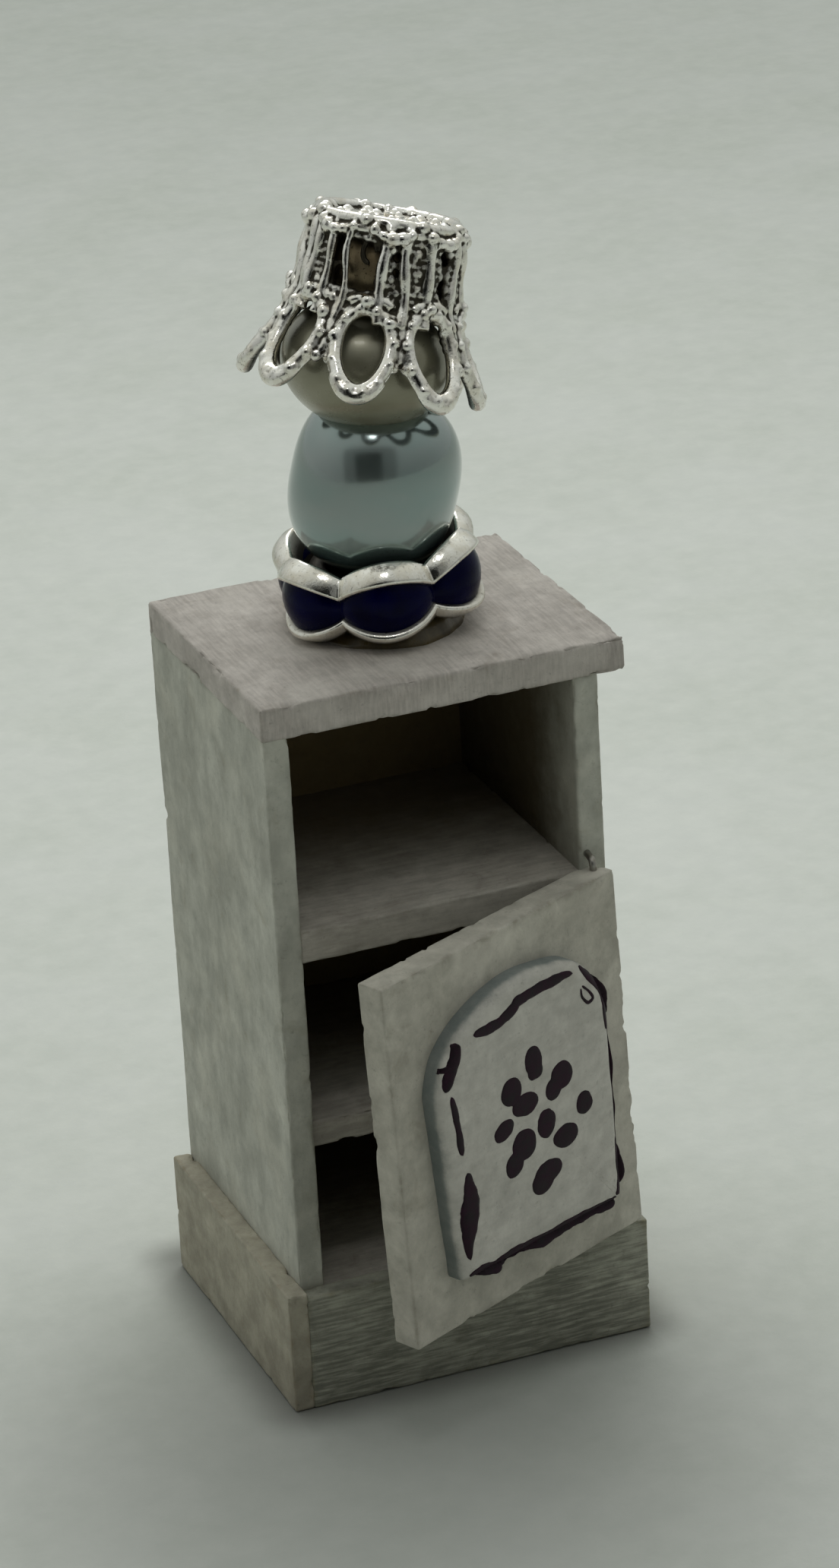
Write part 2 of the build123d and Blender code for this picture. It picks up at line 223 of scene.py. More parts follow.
# ---------------------------------------------------------------- materials
class Mat:
    """Small helper over a node tree; coordinates are object millimetres."""

    def __init__(self, name):
        self.m = bpy.data.materials.new(name)
        self.m.use_nodes = True
        self.t = self.m.node_tree
        self.t.nodes.clear()
        self.out = self.add("ShaderNodeOutputMaterial")
        self.p = self.add("ShaderNodeBsdfPrincipled")
        self.link(self.p.outputs[0], self.out.inputs[0])
        tc = self.add("ShaderNodeTexCoord")
        self.mm = self.add("ShaderNodeVectorMath", operation="SCALE")
        self.link(tc.outputs["Object"], self.mm.inputs[0])
        self.mm.inputs["Scale"].default_value = 1000.0
        self.pos = self.mm.outputs[0]

    def add(self, kind, **kw):
        n = self.t.nodes.new(kind)
        for k, v in kw.items():
            setattr(n, k, v)
        return n

    def link(self, a, b):
        self.t.links.new(a, b)

    def put(self, sock, v):
        if hasattr(v, "is_linked"):
            self.link(v, sock)
        else:
            sock.default_value = v

    def noise(self, scale, detail=3, rough=.5, stretch=None, distort=0.0, shift=(0, 0, 0)):
        src = self.pos
        if stretch or any(shift):
            mp = self.add("ShaderNodeMapping")
            self.link(self.pos, mp.inputs[0])
            mp.inputs["Scale"].default_value = stretch or (1, 1, 1)
            mp.inputs["Location"].default_value = shift
            src = mp.outputs[0]
        n = self.add("ShaderNodeTexNoise")
        self.link(src, n.inputs["Vector"])
        n.inputs["Scale"].default_value = scale
        n.inputs["Detail"].default_value = detail
        n.inputs["Roughness"].default_value = rough
        n.inputs["Distortion"].default_value = distort
        return n.outputs[0]

    def fit(self, v, a, b, lo=0.0, hi=1.0, smooth=False):
        n = self.add("ShaderNodeMapRange")
        if smooth:
            n.interpolation_type = "SMOOTHSTEP"
        self.put(n.inputs[0], v)
        n.inputs[1].default_value, n.inputs[2].default_value = a, b
        n.inputs[3].default_value, n.inputs[4].default_value = lo, hi
        return n.outputs[0]

    def math(self, op, a, b=None, clamp=False):
        n = self.add("ShaderNodeMath", operation=op)
        n.use_clamp = clamp
        self.put(n.inputs[0], a)
        if b is not None:
            self.put(n.inputs[1], b)
        return n.outputs[0]

    def mix(self, fac, a, b, blend="MIX"):
        n = self.add("ShaderNodeMix", data_type="RGBA", blend_type=blend)
        self.put(n.inputs[0], fac)
        self.put(n.inputs[6], a if hasattr(a, "is_linked") else (*a, 1))
        self.put(n.inputs[7], b if hasattr(b, "is_linked") else (*b, 1))
        return n.outputs[2]

    def attr(self, name):
        n = self.add("ShaderNodeAttribute", attribute_name=name)
        return n.outputs["Fac"]

    def xyz(self, axis):
        n = self.add("ShaderNodeSeparateXYZ")
        self.link(self.pos, n.inputs[0])
        return n.outputs[axis]

    def bump(self, height, strength=.3, distance=.00005, after=None):
        n = self.add("ShaderNodeBump")
        self.put(n.inputs["Height"], height)
        n.inputs["Strength"].default_value = strength
        n.inputs["Distance"].default_value = distance
        if after is not None:
            self.link(after, n.inputs["Normal"])
        return n.outputs[0]

    def set(self, **kw):
        for k, v in kw.items():
            self.put(self.p.inputs[k.replace("_", " ")], v)


def lin(r, g, b):
    return tuple(((c / 255 + .055) / 1.055) ** 2.4 if c > 10 else c / 255 / 12.92 for c in (r, g, b))


def paint(name, light, dark, worn=(150, 145, 130), stain=(70, 62, 48), streak=(.25, .25, 3.0), streak_mix=.35,
          fade=None, shade=None, grime=.35, seed=0.0, tint=None, inside=False, outside=None):
    """Hand-brushed chalky paint. fade = (axis, start, end, colour) darkens deeper into a cupboard, partly bare wood
    and partly painted shade; shade paints shade where an attribute marks.
    """
    M = Mat(name)
    big = M.fit(M.noise(.11, 3, .55, shift=(seed, 3, 1)), .33, .67, smooth=True)
    mid = M.fit(M.noise(.6, 4, .6, shift=(seed, 9, 4), distort=.4), .35, .68)
    col = M.mix(big, lin(*light), lin(*dark))
    col = M.mix(M.math("MULTIPLY", mid, .42), col, lin(*[c * .86 for c in dark]))
    st = M.noise(1.5, 4, .62, stretch=streak, shift=(seed, 0, 2))
    col = M.mix(M.math("MULTIPLY", M.fit(st, .46, .72), streak_mix), col, lin(*[min(255, c * 1.13) for c in light]))
    col = M.mix(M.math("MULTIPLY", M.fit(st, .5, .28), streak_mix * .9), col, lin(*[c * .8 for c in dark]))
    blot = M.fit(M.noise(.35, 5, .68, shift=(seed + 5, 1, 8), distort=.8), .57, .75)
    col = M.mix(M.math("MULTIPLY", blot, grime), col, lin(*stain))
    if tint:
        tn = M.fit(M.noise(.22, 3, .5, shift=(seed + 2, 7, 1)), .5, .7)
        col = M.mix(M.math("MULTIPLY", tn, tint[1]), col, lin(*tint[0]))
    edge = M.attr("edge")
    wear = M.math("MULTIPLY", M.fit(edge, .25, .7), M.fit(M.noise(1.7, 4, .7, shift=(seed, 2, 9)), .38, .62))
    col = M.mix(M.math("MULTIPLY", wear, .55), col, lin(*worn))
    rim = M.math("MULTIPLY", M.fit(edge, .1, .9), .3)
    col = M.mix(rim, col, lin(*[c * .72 for c in dark]))
    # darker deeper into a cupboard: partly bare wood, partly painted shade
    if fade:
        axis, a, b, colour, strength = fade
        w = M.math("ADD", M.xyz(axis), M.fit(M.noise(.5, 4, .6), .2, .8, -1.6, 1.6))
        col = M.mix(M.math("MULTIPLY", M.fit(w, a, b, smooth=True), strength), col, lin(*colour))
    if outside:
        col = M.mix(M.fit(M.xyz("Y"), YB - .5, YB - .35), col, lin(*outside))
    mott = M.fit(M.noise(.62, 6, .72, shift=(seed + 3, 1, 2)), .34, .7)
    col = M.mix(M.math("MULTIPLY", mott, .30), col, lin(*[c * .70 for c in dark]))
    fleck = M.fit(M.noise(2.6, 4, .7, shift=(seed, 8, 5)), .60, .72)
    col = M.mix(M.math("MULTIPLY", fleck, .35), col, lin(*[c * .6 for c in dark]))
    # inside faces darken deeper into the cupboard, even at the front: partly bare wood, partly painted shade
    if inside:
        w = M.math("ADD", M.xyz("Y"), M.fit(M.noise(.5, 4, .6), .2, .8, -1.6, 1.6))
        deep = M.math("MULTIPLY", M.attr("inside"), M.fit(w, -4.6, 4.0, .35, 1.0, smooth=True))
        col = M.mix(M.math("MULTIPLY", deep, .93), col, lin(88, 76, 52))
    # painted shade on the area the attribute marks (the raised panel's side walls)
    if shade:
        axis, a, b, colour, strength = shade
        w = M.math("ADD", M.attr(axis), M.fit(M.noise(.8, 4, .6), .2, .8, -.3, .3))
        col = M.mix(M.math("MULTIPLY", M.fit(w, a, b, smooth=True), strength), col, lin(*colour))
    speck = M.fit(M.noise(5.5, 2, .5, shift=(seed, 4, 4)), .66, .78)
    col = M.mix(M.math("MULTIPLY", speck, .25), col, lin(*stain))
    M.set(Base_Color=col, Roughness=M.fit(mid, 0, 1, .68, .9))
    M.p.inputs["Specular IOR Level"].default_value = .28
    b1 = M.bump(st, .35, .00006)
    b2 = M.bump(M.noise(3.2, 4, .65, shift=(seed, 6, 6)), .42, .00007, after=b1)
    M.link(b2, M.p.inputs["Normal"])
    return M.m


P_TOP = paint("paint_top", (200, 193, 186), (182, 175, 168), worn=(148, 141, 126), streak=(3, .25, .4),
              stain=(138, 125, 108), grime=.4, seed=1.3, tint=((212, 206, 198), .5))
# the sides' inside faces darken deeper into the cupboard: partly bare wood, partly painted shade
P_SIDE = paint("paint_sides", (198, 198, 187), (178, 178, 167), worn=(150, 144, 122), streak=(.3, .3, .12),
               stain=(146, 138, 116), grime=.42, seed=7.1, tint=((208, 206, 192), .5), inside=True)
# the back panel darkens to brown: partly bare wood, partly painted shade
P_IN = paint("paint_niche", (150, 138, 112), (120, 106, 78), streak=(.2, 2.2, .2), seed=4.0, stain=(80, 66, 44),
             fade=("Y", -3.2, 4.5, (118, 102, 68), .9), outside=(176, 172, 158))
# the shelves darken towards the back: partly bare wood, partly painted shade
P_SHELF = paint("paint_shelf", (192, 187, 177), (170, 164, 154), streak=(.25, 1.5, 1.5), seed=5.7, stain=(110, 98, 80),
                fade=("Y", 1.0, 12.0, (100, 86, 58), .85))
P_DOOR = paint("paint_door", (200, 196, 184), (180, 176, 164), streak=(.35, .35, .35), seed=12.4, worn=(140, 132, 114),
               stain=(134, 122, 102), grime=.32, tint=((208, 203, 192), .5))
# the raised panel's side walls get a dark teal-grey: painted shade
P_PANEL = paint("paint_panel", (207, 204, 196), (194, 191, 183), streak=(.3, .3, .9), seed=15.2, worn=(142, 146, 142),
                stain=(164, 156, 144), grime=.22, streak_mix=.2, shade=("side", 0, 1, (92, 104, 104), .75))
P_PLINTH = paint("paint_plinth", (172, 172, 158), (128, 128, 116), streak=(.22, .3, 2.6), streak_mix=.75, seed=21.7,
                 worn=(150, 142, 104), stain=(92, 88, 72), grime=.5)
P_STRIP = paint("paint_strip", (180, 175, 158), (156, 150, 134), streak=(.3, .25, .3), seed=26.0, worn=(152, 134, 104),
                stain=(130, 118, 94), grime=.42)


def ink():
    M = Mat("plum_paint")
    a = M.fit(M.noise(1.2, 4, .6), .35, .7)
    col = M.mix(a, lin(20, 6, 16), lin(42, 16, 34))
    col = M.mix(M.math("MULTIPLY", M.fit(M.noise(3.5, 3, .6, shift=(3, 1, 1)), .58, .72), .5), col, lin(12, 6, 16))
    M.set(Base_Color=col, Roughness=M.fit(a, 0, 1, .5, .7))
    M.p.inputs["Specular IOR Level"].default_value = .18
    M.link(M.bump(M.noise(6, 3, .6), .3, .00003), M.p.inputs["Normal"])
    return M.m


INK = ink()


def silver(name, base=(.80, .78, .73), dark=(.045, .04, .03), rough=(.14, .34), hollow_and_shade=True, hollow_and_shade_range=(.15, .8), patch=.35):
    M = Mat(name)
    n1 = M.noise(.9, 4, .62)
    n2 = M.noise(4.5, 3, .6, shift=(1, 5, 2))
    col = M.mix(M.fit(n1, .4, .75), base, tuple(c * k for c, k in zip(base, (.8, .76, .68))))
    tarnish_and_shade = M.fit(n2, .58, .75)
    tarnish_and_shade = M.math("MULTIPLY", tarnish_and_shade, patch)
    # the per-vertex attribute adds tarnish in hollows, and on the lamp's cap painted shade on its inside faces
    if hollow_and_shade:
        tarnish_and_shade = M.math("ADD", tarnish_and_shade, M.fit(M.attr("hollow_and_shade"), *hollow_and_shade_range), clamp=True)
    col = M.mix(tarnish_and_shade, col, dark)
    M.set(Base_Color=col, Roughness=M.math("ADD", M.fit(n1, .3, .7, *rough), M.math("MULTIPLY", tarnish_and_shade, .3)))
    M.p.inputs["Metallic"].default_value = 1.0
    M.link(M.bump(M.noise(5, 3, .55, shift=(4, 4, 1)), .25, .00005), M.p.inputs["Normal"])
    return M.m


SHADE = silver("silver_filigree", base=(.90, .88, .83), rough=(.09, .24), hollow_and_shade_range=(.08, .6), patch=.8)
# dark lining inside the lamp's cap: painted shade standing in for the shadow inside it
SHADOW_LINER = silver("shadow_liner_dark", base=(.30, .24, .15), dark=(.02, .014, .008), rough=(.35, .6), hollow_and_shade=False, patch=.95)
FLANGE = silver("silver_flange", base=(.86, .84, .78), rough=(.1, .22), patch=.55)
WIRE = silver("steel_pin", base=(.34, .33, .31), dark=(.06, .05, .04), rough=(.28, .5), hollow_and_shade=False)


def blue():
    M = Mat("cobalt_glass")
    a = M.fit(M.noise(.45, 3, .5), .35, .7)
    col = M.mix(a, (.0003, .0003, .014), (.0006, .001, .034))
    M.set(Base_Color=col, Roughness=M.fit(M.noise(2.2, 3, .6), .3, .7, .16, .3))
    M.p.inputs["Specular IOR Level"].default_value = .07
    M.link(M.bump(M.noise(2.5, 2, .5), .12, .00004), M.p.inputs["Normal"])
    return M.m


def pearl():
    M = Mat("teal_pearl")
    a = M.fit(M.noise(.16, 3, .5, stretch=(1, 1, 2.2)), .35, .68)
    col = M.mix(a, (.25, .325, .315), (.30, .345, .335))
    # painted shade: the pearl darkens towards its foot, inside the ring
    low = M.fit(M.xyz("Z"), 60.2, 57.2, smooth=True)
    col = M.mix(M.math("MULTIPLY", low, .6), col, (.10, .21, .19))
    M.set(Base_Color=col, Roughness=M.fit(M.noise(.7, 3, .6), .3, .7, .13, .2))
    M.p.inputs["Metallic"].default_value = .76
    M.p.inputs["Coat Weight"].default_value = .7
    M.p.inputs["Coat Roughness"].default_value = .03
    M.link(M.bump(M.noise(2.0, 2, .5), .05, .00003), M.p.inputs["Normal"])
    return M.m


def smoke():
    M = Mat("smoky_bead")
    a = M.fit(M.noise(.25, 3, .5, stretch=(1, 1, 2)), .35, .68)
    col = M.mix(a, (.24, .228, .155), (.31, .295, .22))
    M.set(Base_Color=col, Roughness=M.fit(M.noise(.8, 3, .6), .3, .7, .24, .36))
    M.p.inputs["Metallic"].default_value = .45
    M.p.inputs["Coat Weight"].default_value = .25
    M.p.inputs["Coat Roughness"].default_value = .1
    M.link(M.bump(M.noise(2.2, 2, .5), .06, .00003), M.p.inputs["Normal"])
    return M.m


def glue():
    M = Mat("dried_glue")
    a = M.fit(M.noise(.8, 4, .6), .35, .7)
    col = M.mix(a, lin(92, 80, 50), lin(54, 46, 32))
    M.set(Base_Color=col, Roughness=M.fit(a, 0, 1, .25, .5))
    M.p.inputs["Specular IOR Level"].default_value = .5
    M.link(M.bump(M.noise(2.2, 3, .6), .3, .00006), M.p.inputs["Normal"])
    return M.m


BLUE, PEARL, SMOKE, GLUE = blue(), pearl(), smoke(), glue()

# ---------------------------------------------------------------- cabinet boards
UT = 49.57
board("top", (-12.455, -5.108, UT), (13.715, 16.912, 52), P_TOP, 3, h=.3, r=.26, wob=.07, chip=.5, nibble=.9,
      replaces=["top_board"], slot="painted_top")
board("side_left", (XL, YF, 0), (XL + 1.85, YB, UT + .25), P_SIDE, 5, r=.2, chip=.28, wob=.07, inner=1,
      replaces=["left_side"], slot="painted_carcass")
board("side_right", (XR - 1.85, YF, 0), (XR, YB, UT + .25), P_SIDE, 8, r=.2, chip=.28, wob=.07, inner=-1,
      replaces=["right_side"], slot="painted_carcass")
board("back", (XL + 1.6, YB - 1, 0), (XR - 1.6, YB, UT + .2), P_IN, 9, h=.5, r=.12, chip=.1,
      replaces=["back_panel"], slot="dark_interior")
board("shelf_niche", (XL + 1.7, YF + .1, 33.05), (XR - 1.7, YB - .8, 35.5), P_SHELF, 12, r=.24, wob=.08, chip=.32,
      replaces=["niche_shelf"], slot="painted_carcass")
board("shelf_lower", (XL + 1.7, YF + 1.15, 18.65), (XR - 1.7, YB - .8, 20.6), P_SHELF, 14, r=.24, wob=.1, chip=.5,
      replaces=["lower_shelf"], slot="painted_carcass")
board("floor_inside", (XL + 1.7, YF, 6.75), (XR - 1.7, YB - .8, 8.55), P_SHELF, 16, h=.5, r=.2,
      replaces=["floor_board"], slot="dark_interior")


def slant(P):
    t = np.clip((YF - P[:, 1]) / 1.34, 0, None)
    Q = P.copy()
    Q[:, 1] -= t * (P[:, 0] - XL) / (XR + 1.36 - XL) * .52
    return Q


board("plinth_front_board", (XL + .02, YF - 1.34, 0), (XR + 1.36, YF + .12, 8.7), P_PLINTH, 20, h=.3, r=.2, chip=.35,
      wob=.06, warp=slant, replaces=["plinth_front"], slot="painted_plinth")
board("plinth_left_strip", (XL - 1.36, YF - 1.34, 0), (XL + .12, YB, 9.05), P_STRIP, 23, h=.3, r=.2, chip=.35,
      wob=.06, replaces=["plinth_left"], slot="painted_plinth")
board("plinth_right_strip", (XR - .12, YF + .02, 0), (XR + 1.36, YB, 9.05), P_STRIP, 27, h=.34, r=.2, chip=.3,
      wob=.06, replaces=["plinth_right"], slot="painted_plinth")


# ---------------------------------------------------------------- door
def door_place(P):
    return HINGE + P[:, :1] * DOOR_X + P[:, 1:2] * DOOR_Y + P[:, 2:3] * DOOR_N


LEAN = math.tan(math.radians(2.5))


def door_skew(P):
    Q = P.copy()
    Q[:, 0] -= LEAN * P[:, 1]
    return Q


board("door_slab", (.85 - 23.3, 0, -1.1), (.85, 27.2, 1.1), P_DOOR, 31, h=.3, r=.2, wob=.045, chip=.34, nibble=.7,
      warp=door_skew, place=door_place, body="door",
      radius=lambda P: np.where((P[:, 0] > -.6) & (P[:, 2] < 0), .6, .1),
      replaces=["door"], slot="painted_door")

outline = [(-7.35, 12.95), (.8, 12.75), (9.0, 12.55), (8.55, 27.2), (7.75, 29.35), (6.55, 31.0), (4.6, 32.2), (.7, 32.85),
           (-2.2, 32.65), (-5.0, 31.75), (-6.85, 30.6), (-8.0, 29.3), (-8.75, 27.2)]
outline = [(x - 11.75, z - 8.85) for x, z in outline]


def panel_outline(n=260):
    """Evenly spaced points round the arched panel: straight bottom and sides, curved head."""
    bottom_l, bottom_r = np.array(outline[0]), np.array(outline[2])
    head = spline(outline[3:], 14)
    pts = [bottom_l + (bottom_r - bottom_l) * t for t in np.linspace(0, 1, 60, endpoint=False)]
    pts += [bottom_r + (head[0] - bottom_r) * t for t in np.linspace(0, 1, 60, endpoint=False)]
    pts += list(head)
    pts += [head[-1] + (bottom_l - head[-1]) * t for t in np.linspace(0, 1, 60, endpoint=False)][1:]
    p = np.array(pts)
    seg = np.linalg.norm(np.roll(p, -1, 0) - p, axis=1)
    s = np.r_[0, np.cumsum(seg)]
    t = np.linspace(0, s[-1], n, endpoint=False)
    q = np.vstack([p, p[:1]])
    return np.c_[np.interp(t, s, q[:, 0]), np.interp(t, s, q[:, 1])]


OUT = panel_outline()
pn = Noise(41)
for _ in range(2):                                       # soften the two lower corners a little
    OUT = OUT * .5 + .25 * (np.roll(OUT, 1, 0) + np.roll(OUT, -1, 0))
_t = np.roll(OUT, -1, 0) - np.roll(OUT, 1, 0)
_t /= np.linalg.norm(_t, axis=1)[:, None]
OUT_N = np.c_[_t[:, 1], -_t[:, 0]]                       # outward (the outline runs anticlockwise)
OUT = OUT + OUT_N * (.09 * pn.fbm(np.c_[OUT * .35, np.zeros(len(OUT))], 3))[:, None]


def dist_to_outline(uv):
    A, B = OUT, np.roll(OUT, -1, 0)
    best = np.full(len(uv), 1e9)
    for a, b in zip(A, B):
        d = b - a
        t = np.clip(((uv - a) @ d) / (d @ d), 0, 1)
        best = np.minimum(best, np.linalg.norm(uv - a - t[:, None] * d, axis=1))
    return best


def panel_face(uv):
    """Height of the panel's front above the door's mid plane."""
    d = dist_to_outline(uv)
    k = np.clip(d / 1.15, 0, 1)
    rise = 2.02 + .68 * np.sqrt(np.clip(1 - (1 - k) ** 2, 0, 1))
    p3 = np.c_[uv, np.zeros(len(uv))]
    return rise + .05 * pn.fbm(p3 * .22, 3) + .018 * pn.fbm(p3 * np.array([1.1, 1.1, 1]) + 4, 3) - .03


def inset(d):
    P = OUT - OUT_N * d
    for _ in range(int(2 + d * 6)):
        P = P * .5 + .25 * (np.roll(P, 1, 0) + np.roll(P, -1, 0))
    return P


rings, heights = [], []
for w in (.9, 1.15, 1.4, 1.7, 1.95):
    rings.append(OUT)
    heights.append(np.full(len(OUT), w))
for d in (.03, .1, .2, .33, .5, .7, .92, 1.2):
    r_ = inset(d)
    rings.append(r_)
    heights.append(panel_face(r_))
core = rings[-1]
cen = core.mean(0)
for t in np.linspace(1, 0, 44)[1:-1]:
    r_ = cen + (core - cen) * t
    rings.append(r_)
    heights.append(panel_face(r_))
n_ = len(OUT)
V = np.concatenate([np.c_[a, b] for a, b in zip(rings, heights)])
F = grid_loop((len(rings), n_))
V = np.vstack([V, [*cen, panel_face(cen[None])[0]], [*cen, .9]])
last = (len(rings) - 1) * n_
F += [(last + j, last + (j + 1) % n_, len(V) - 2) for j in range(n_)]
F += [((j + 1) % n_, j, len(V) - 1) for j in range(n_)]
side_wall = V[:, 2] < 2.0
dd = np.r_[np.concatenate([np.zeros(n_) if k < 5 else dist_to_outline(r_) for k, r_ in enumerate(rings)]), 5, 5]
edge_a = np.exp(-dd / .5) * np.clip(.5 + .8 * pn.fbm(V * .6, 3), 0, 1)
side_a = np.clip((2.35 - V[:, 2]) / .5, 0, 1)
make("door_arched_panel", door_place(V), F, P_PANEL, body="door", replaces=["door_panel"], slot="painted_door",
     attrs={"edge": edge_a, "side": side_a})

STROKES = {
    "top": [(-16.86, 21.75, 0.23), (-15.49, 21.61, 0.4), (-14.09, 21.69, 0.4), (-12.83, 22.09, 0.46), (-12.28, 22.44, 0.43),
            (-10.86, 22.55, 0.4), (-9.09, 22.55, 0.4), (-7.67, 22.51, 0.3), (-6.79, 22.34, 0.13)],
    "corner": [(-5.89, 22.43, 0.17), (-5.23, 21.63, 0.3), (-4.39, 20.71, 0.33), (-3.73, 19.8, 0.36), (-3.56, 18.68, 0.4),
               (-3.53, 17.62, 0.36), (-3.51, 16.87, 0.23)],
    "right_thin": [(-3.26, 16.72, 0.1), (-3.07, 14.27, 0.13), (-3.01, 12.12, 0.1), (-2.94, 10.49, 0.13), (-2.98, 8.37, 0.13)],
    "right": [(-3.16, 8.5, 0.23), (-3.0, 7.04, 0.36), (-2.84, 5.62, 0.43), (-3.05, 4.76, 0.4), (-3.43, 4.12, 0.3)],
    "bottom": [(-18.55, 4.52, 0.2), (-17.3, 4.34, 0.46), (-15.91, 4.04, 0.5), (-15.18, 4.25, 0.46), (-13.76, 4.29, 0.43),
               (-12.34, 4.15, 0.46), (-10.91, 3.93, 0.53), (-9.1, 4.0, 0.46), (-7.28, 3.96, 0.43), (-5.45, 3.9, 0.4),
               (-3.98, 3.73, 0.4), (-3.37, 3.95, 0.23)],
    "left_top": [(-18.35, 21.68, 0.3), (-18.58, 20.93, 0.43), (-19.08, 19.99, 0.5), (-19.49, 19.18, 0.43), (-19.81, 18.7, 0.17)],
    "left_branch": [(-20.16, 20.17, 0.1), (-19.68, 20.18, 0.17), (-19.19, 20.29, 0.17)],
    "left_thin": [(-19.34, 18.2, 0.17), (-19.04, 16.89, 0.3), (-18.85, 15.52, 0.26), (-18.74, 14.44, 0.33), (-18.6, 13.58, 0.17)],
    "spindle": [(-18.28, 12.12, 0.26), (-18.15, 11.2, 0.5), (-18.11, 10.01, 0.79), (-18.14, 9.24, 0.86), (-18.32, 8.0, 0.73),
                (-18.52, 6.91, 0.43), (-18.48, 5.7, 0.17)],
    "squiggle": [(-5.92, 21.07, 0.1), (-5.25, 20.39, 0.1), (-4.93, 19.8, 0.13), (-5.45, 19.66, 0.13), (-5.98, 20.26, 0.1),
                 (-6.07, 20.92, 0.07)],
}
PETALS = [
    ("petal_1", [(-11.16, 17.54, 0.84, 1.18, 10), (-11.05, 16.72, 0.74, 0.60, -5)]),
    ("petal_2", [(-8.47, 15.41, 1.13, 0.99, -36), (-9.35, 14.72, 0.84, 0.83, -55)]),
    ("petal_3", [(-6.38, 12.50, 0.86, 0.81, -53)]),
    ("petal_4", [(-13.50, 16.16, 1.00, 0.98, 19), (-12.20, 14.76, 1.34, 0.81, -5)]),
    ("petal_5", [(-10.24, 12.51, 0.94, 1.05, 6)]),
    ("petal_6", [(-8.39, 10.84, 1.26, 0.88, -5)]),
    ("petal_7", [(-14.47, 13.67, 1.02, 0.70, 19)]),
    ("petal_8", [(-12.57, 11.86, 1.25, 1.07, -33), (-13.65, 10.79, 0.92, 0.89, -44)]),
    ("petal_9", [(-10.34, 8.94, 1.37, 0.87, -5), (-10.92, 8.39, 1.13, 0.92, -4)]),
]


def ribbon(name, ctrl, seed):
    """A closed, slightly raised brush stroke lying on the panel."""
    n = Noise(seed)
    s = spline(ctrl, 9)
    c, hw = s[:, :2], np.maximum(s[:, 2], .04)
    t = np.gradient(c, axis=0)
    t /= np.linalg.norm(t, axis=1)[:, None]
    nr = np.c_[-t[:, 1], t[:, 0]]
    m = len(c)
    k = np.arange(m) / (m - 1)
    capped = hw * np.sqrt(np.clip(1 - np.clip(1 - np.minimum(k, 1 - k) * m / 3.2, 0, 1) ** 2, .02, 1))
    z = np.zeros(m)
    left = capped * (1 + .22 * n.fbm(np.c_[c * 1.6, z], 3))
    right = capped * (1 + .22 * n.fbm(np.c_[c * 1.6, z + 9], 3))
    cols = 9
    top, low = [], []
    for j in range(cols):
        a = -1 + 2 * j / (cols - 1)
        uv = c + nr * np.where(a > 0, left * a, right * a)[:, None]
        h = panel_face(uv)
        top.append(np.c_[uv, h + .012 + .05 * math.sqrt(max(0, 1 - a * a))])
        low.append(np.c_[uv, h - .04])
    G = np.array(top + low[::-1][1:-1]) if False else np.array(top + low[::-1])
    cols2 = len(G)
    V = G.transpose(1, 0, 2).reshape(-1, 3)
    F = [(i * cols2 + j, i * cols2 + (j + 1) % cols2, (i + 1) * cols2 + (j + 1) % cols2, (i + 1) * cols2 + j)
         for i in range(m - 1) for j in range(cols2)]
    F = [f[::-1] for f in F]
    F.append(tuple(range(cols2)))
    F.append(tuple((m - 1) * cols2 + j for j in reversed(range(cols2))))
    return V, F


def blot(parts, seed):
    n = Noise(seed)
    c = np.mean([p[:2] for p in parts], axis=0)
    ang = np.linspace(0, 2 * math.pi, 56, endpoint=False)
    rad = np.zeros(56)
    for i, a in enumerate(ang):
        d = np.array([math.cos(a), math.sin(a)])
        r = np.linspace(.02, 3, 300)
        p = c + r[:, None] * d
        ok = np.zeros(300, bool)
        for (x, y, ea, eb, rot) in parts:
            q = p - (x, y)
            t = math.radians(rot)
            X, Y = q[:, 0] * math.cos(t) + q[:, 1] * math.sin(t), -q[:, 0] * math.sin(t) + q[:, 1] * math.cos(t)
            ok |= (X / ea) ** 2 + (Y / eb) ** 2 <= 1
        rad[i] = r[ok].max() if ok.any() else .1
    rad = rad * .5 + .25 * (np.roll(rad, 1) + np.roll(rad, -1))
    circ = np.c_[np.cos(ang), np.sin(ang)]
    rad *= 1 + .1 * n.fbm(np.c_[circ * 1.6 + c, np.zeros(56)], 3)
    V, rows = [], 0
    for f in (1.0, .97, .9, .78, .6, .38, .16):
        uv = c + circ * (rad * f)[:, None]
        V.append(np.c_[uv, panel_face(uv) + .012 + .06 * math.sqrt(max(0, 1 - f * f)) ** .8])
        rows += 1
    F = grid_loop((rows, 56))
    base = c + circ * rad[:, None]
    V.append(np.c_[base, panel_face(base) - .04])
    V = np.concatenate(V)
    cap = panel_face(c[None])[0]
    V = np.vstack([V, [*c, cap + .075], [*c, cap - .05]])
    F += [((rows - 1) * 56 + j, (rows - 1) * 56 + (j + 1) % 56, len(V) - 2) for j in range(56)]
    F += [(rows * 56 + j, rows * 56 + (j + 1) % 56, (j + 1) % 56, j) for j in range(56)]
    F += [(rows * 56 + (j + 1) % 56, rows * 56 + j, len(V) - 1) for j in range(56)]
    return V, F


def join(parts):
    V, F, o = [], [], 0
    for v, f in parts:
        V.append(v)
        F += [tuple(i + o for i in q) for q in f]
        o += len(v)
    return np.concatenate(V), F


V, F = join([ribbon(k, v, 60 + i) for i, (k, v) in enumerate(STROKES.items())])
make("painted_border", door_place(V), F, INK, body="door", slot="painted_door")
V, F = join([blot(parts, 80 + i) for i, (k, parts) in enumerate(PETALS)])
make("painted_flower", door_place(V), F, INK, body="door", slot="painted_door")

# ---------------------------------------------------------------- hinge pins keep their CAD shape
for node in ("hinge_pin_top", "hinge_pin_bottom", "lamp_pin"):
    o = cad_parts[node]
    o.data.materials.clear()
    o.data.materials.append(WIRE if node != "lamp_pin" else FLANGE)

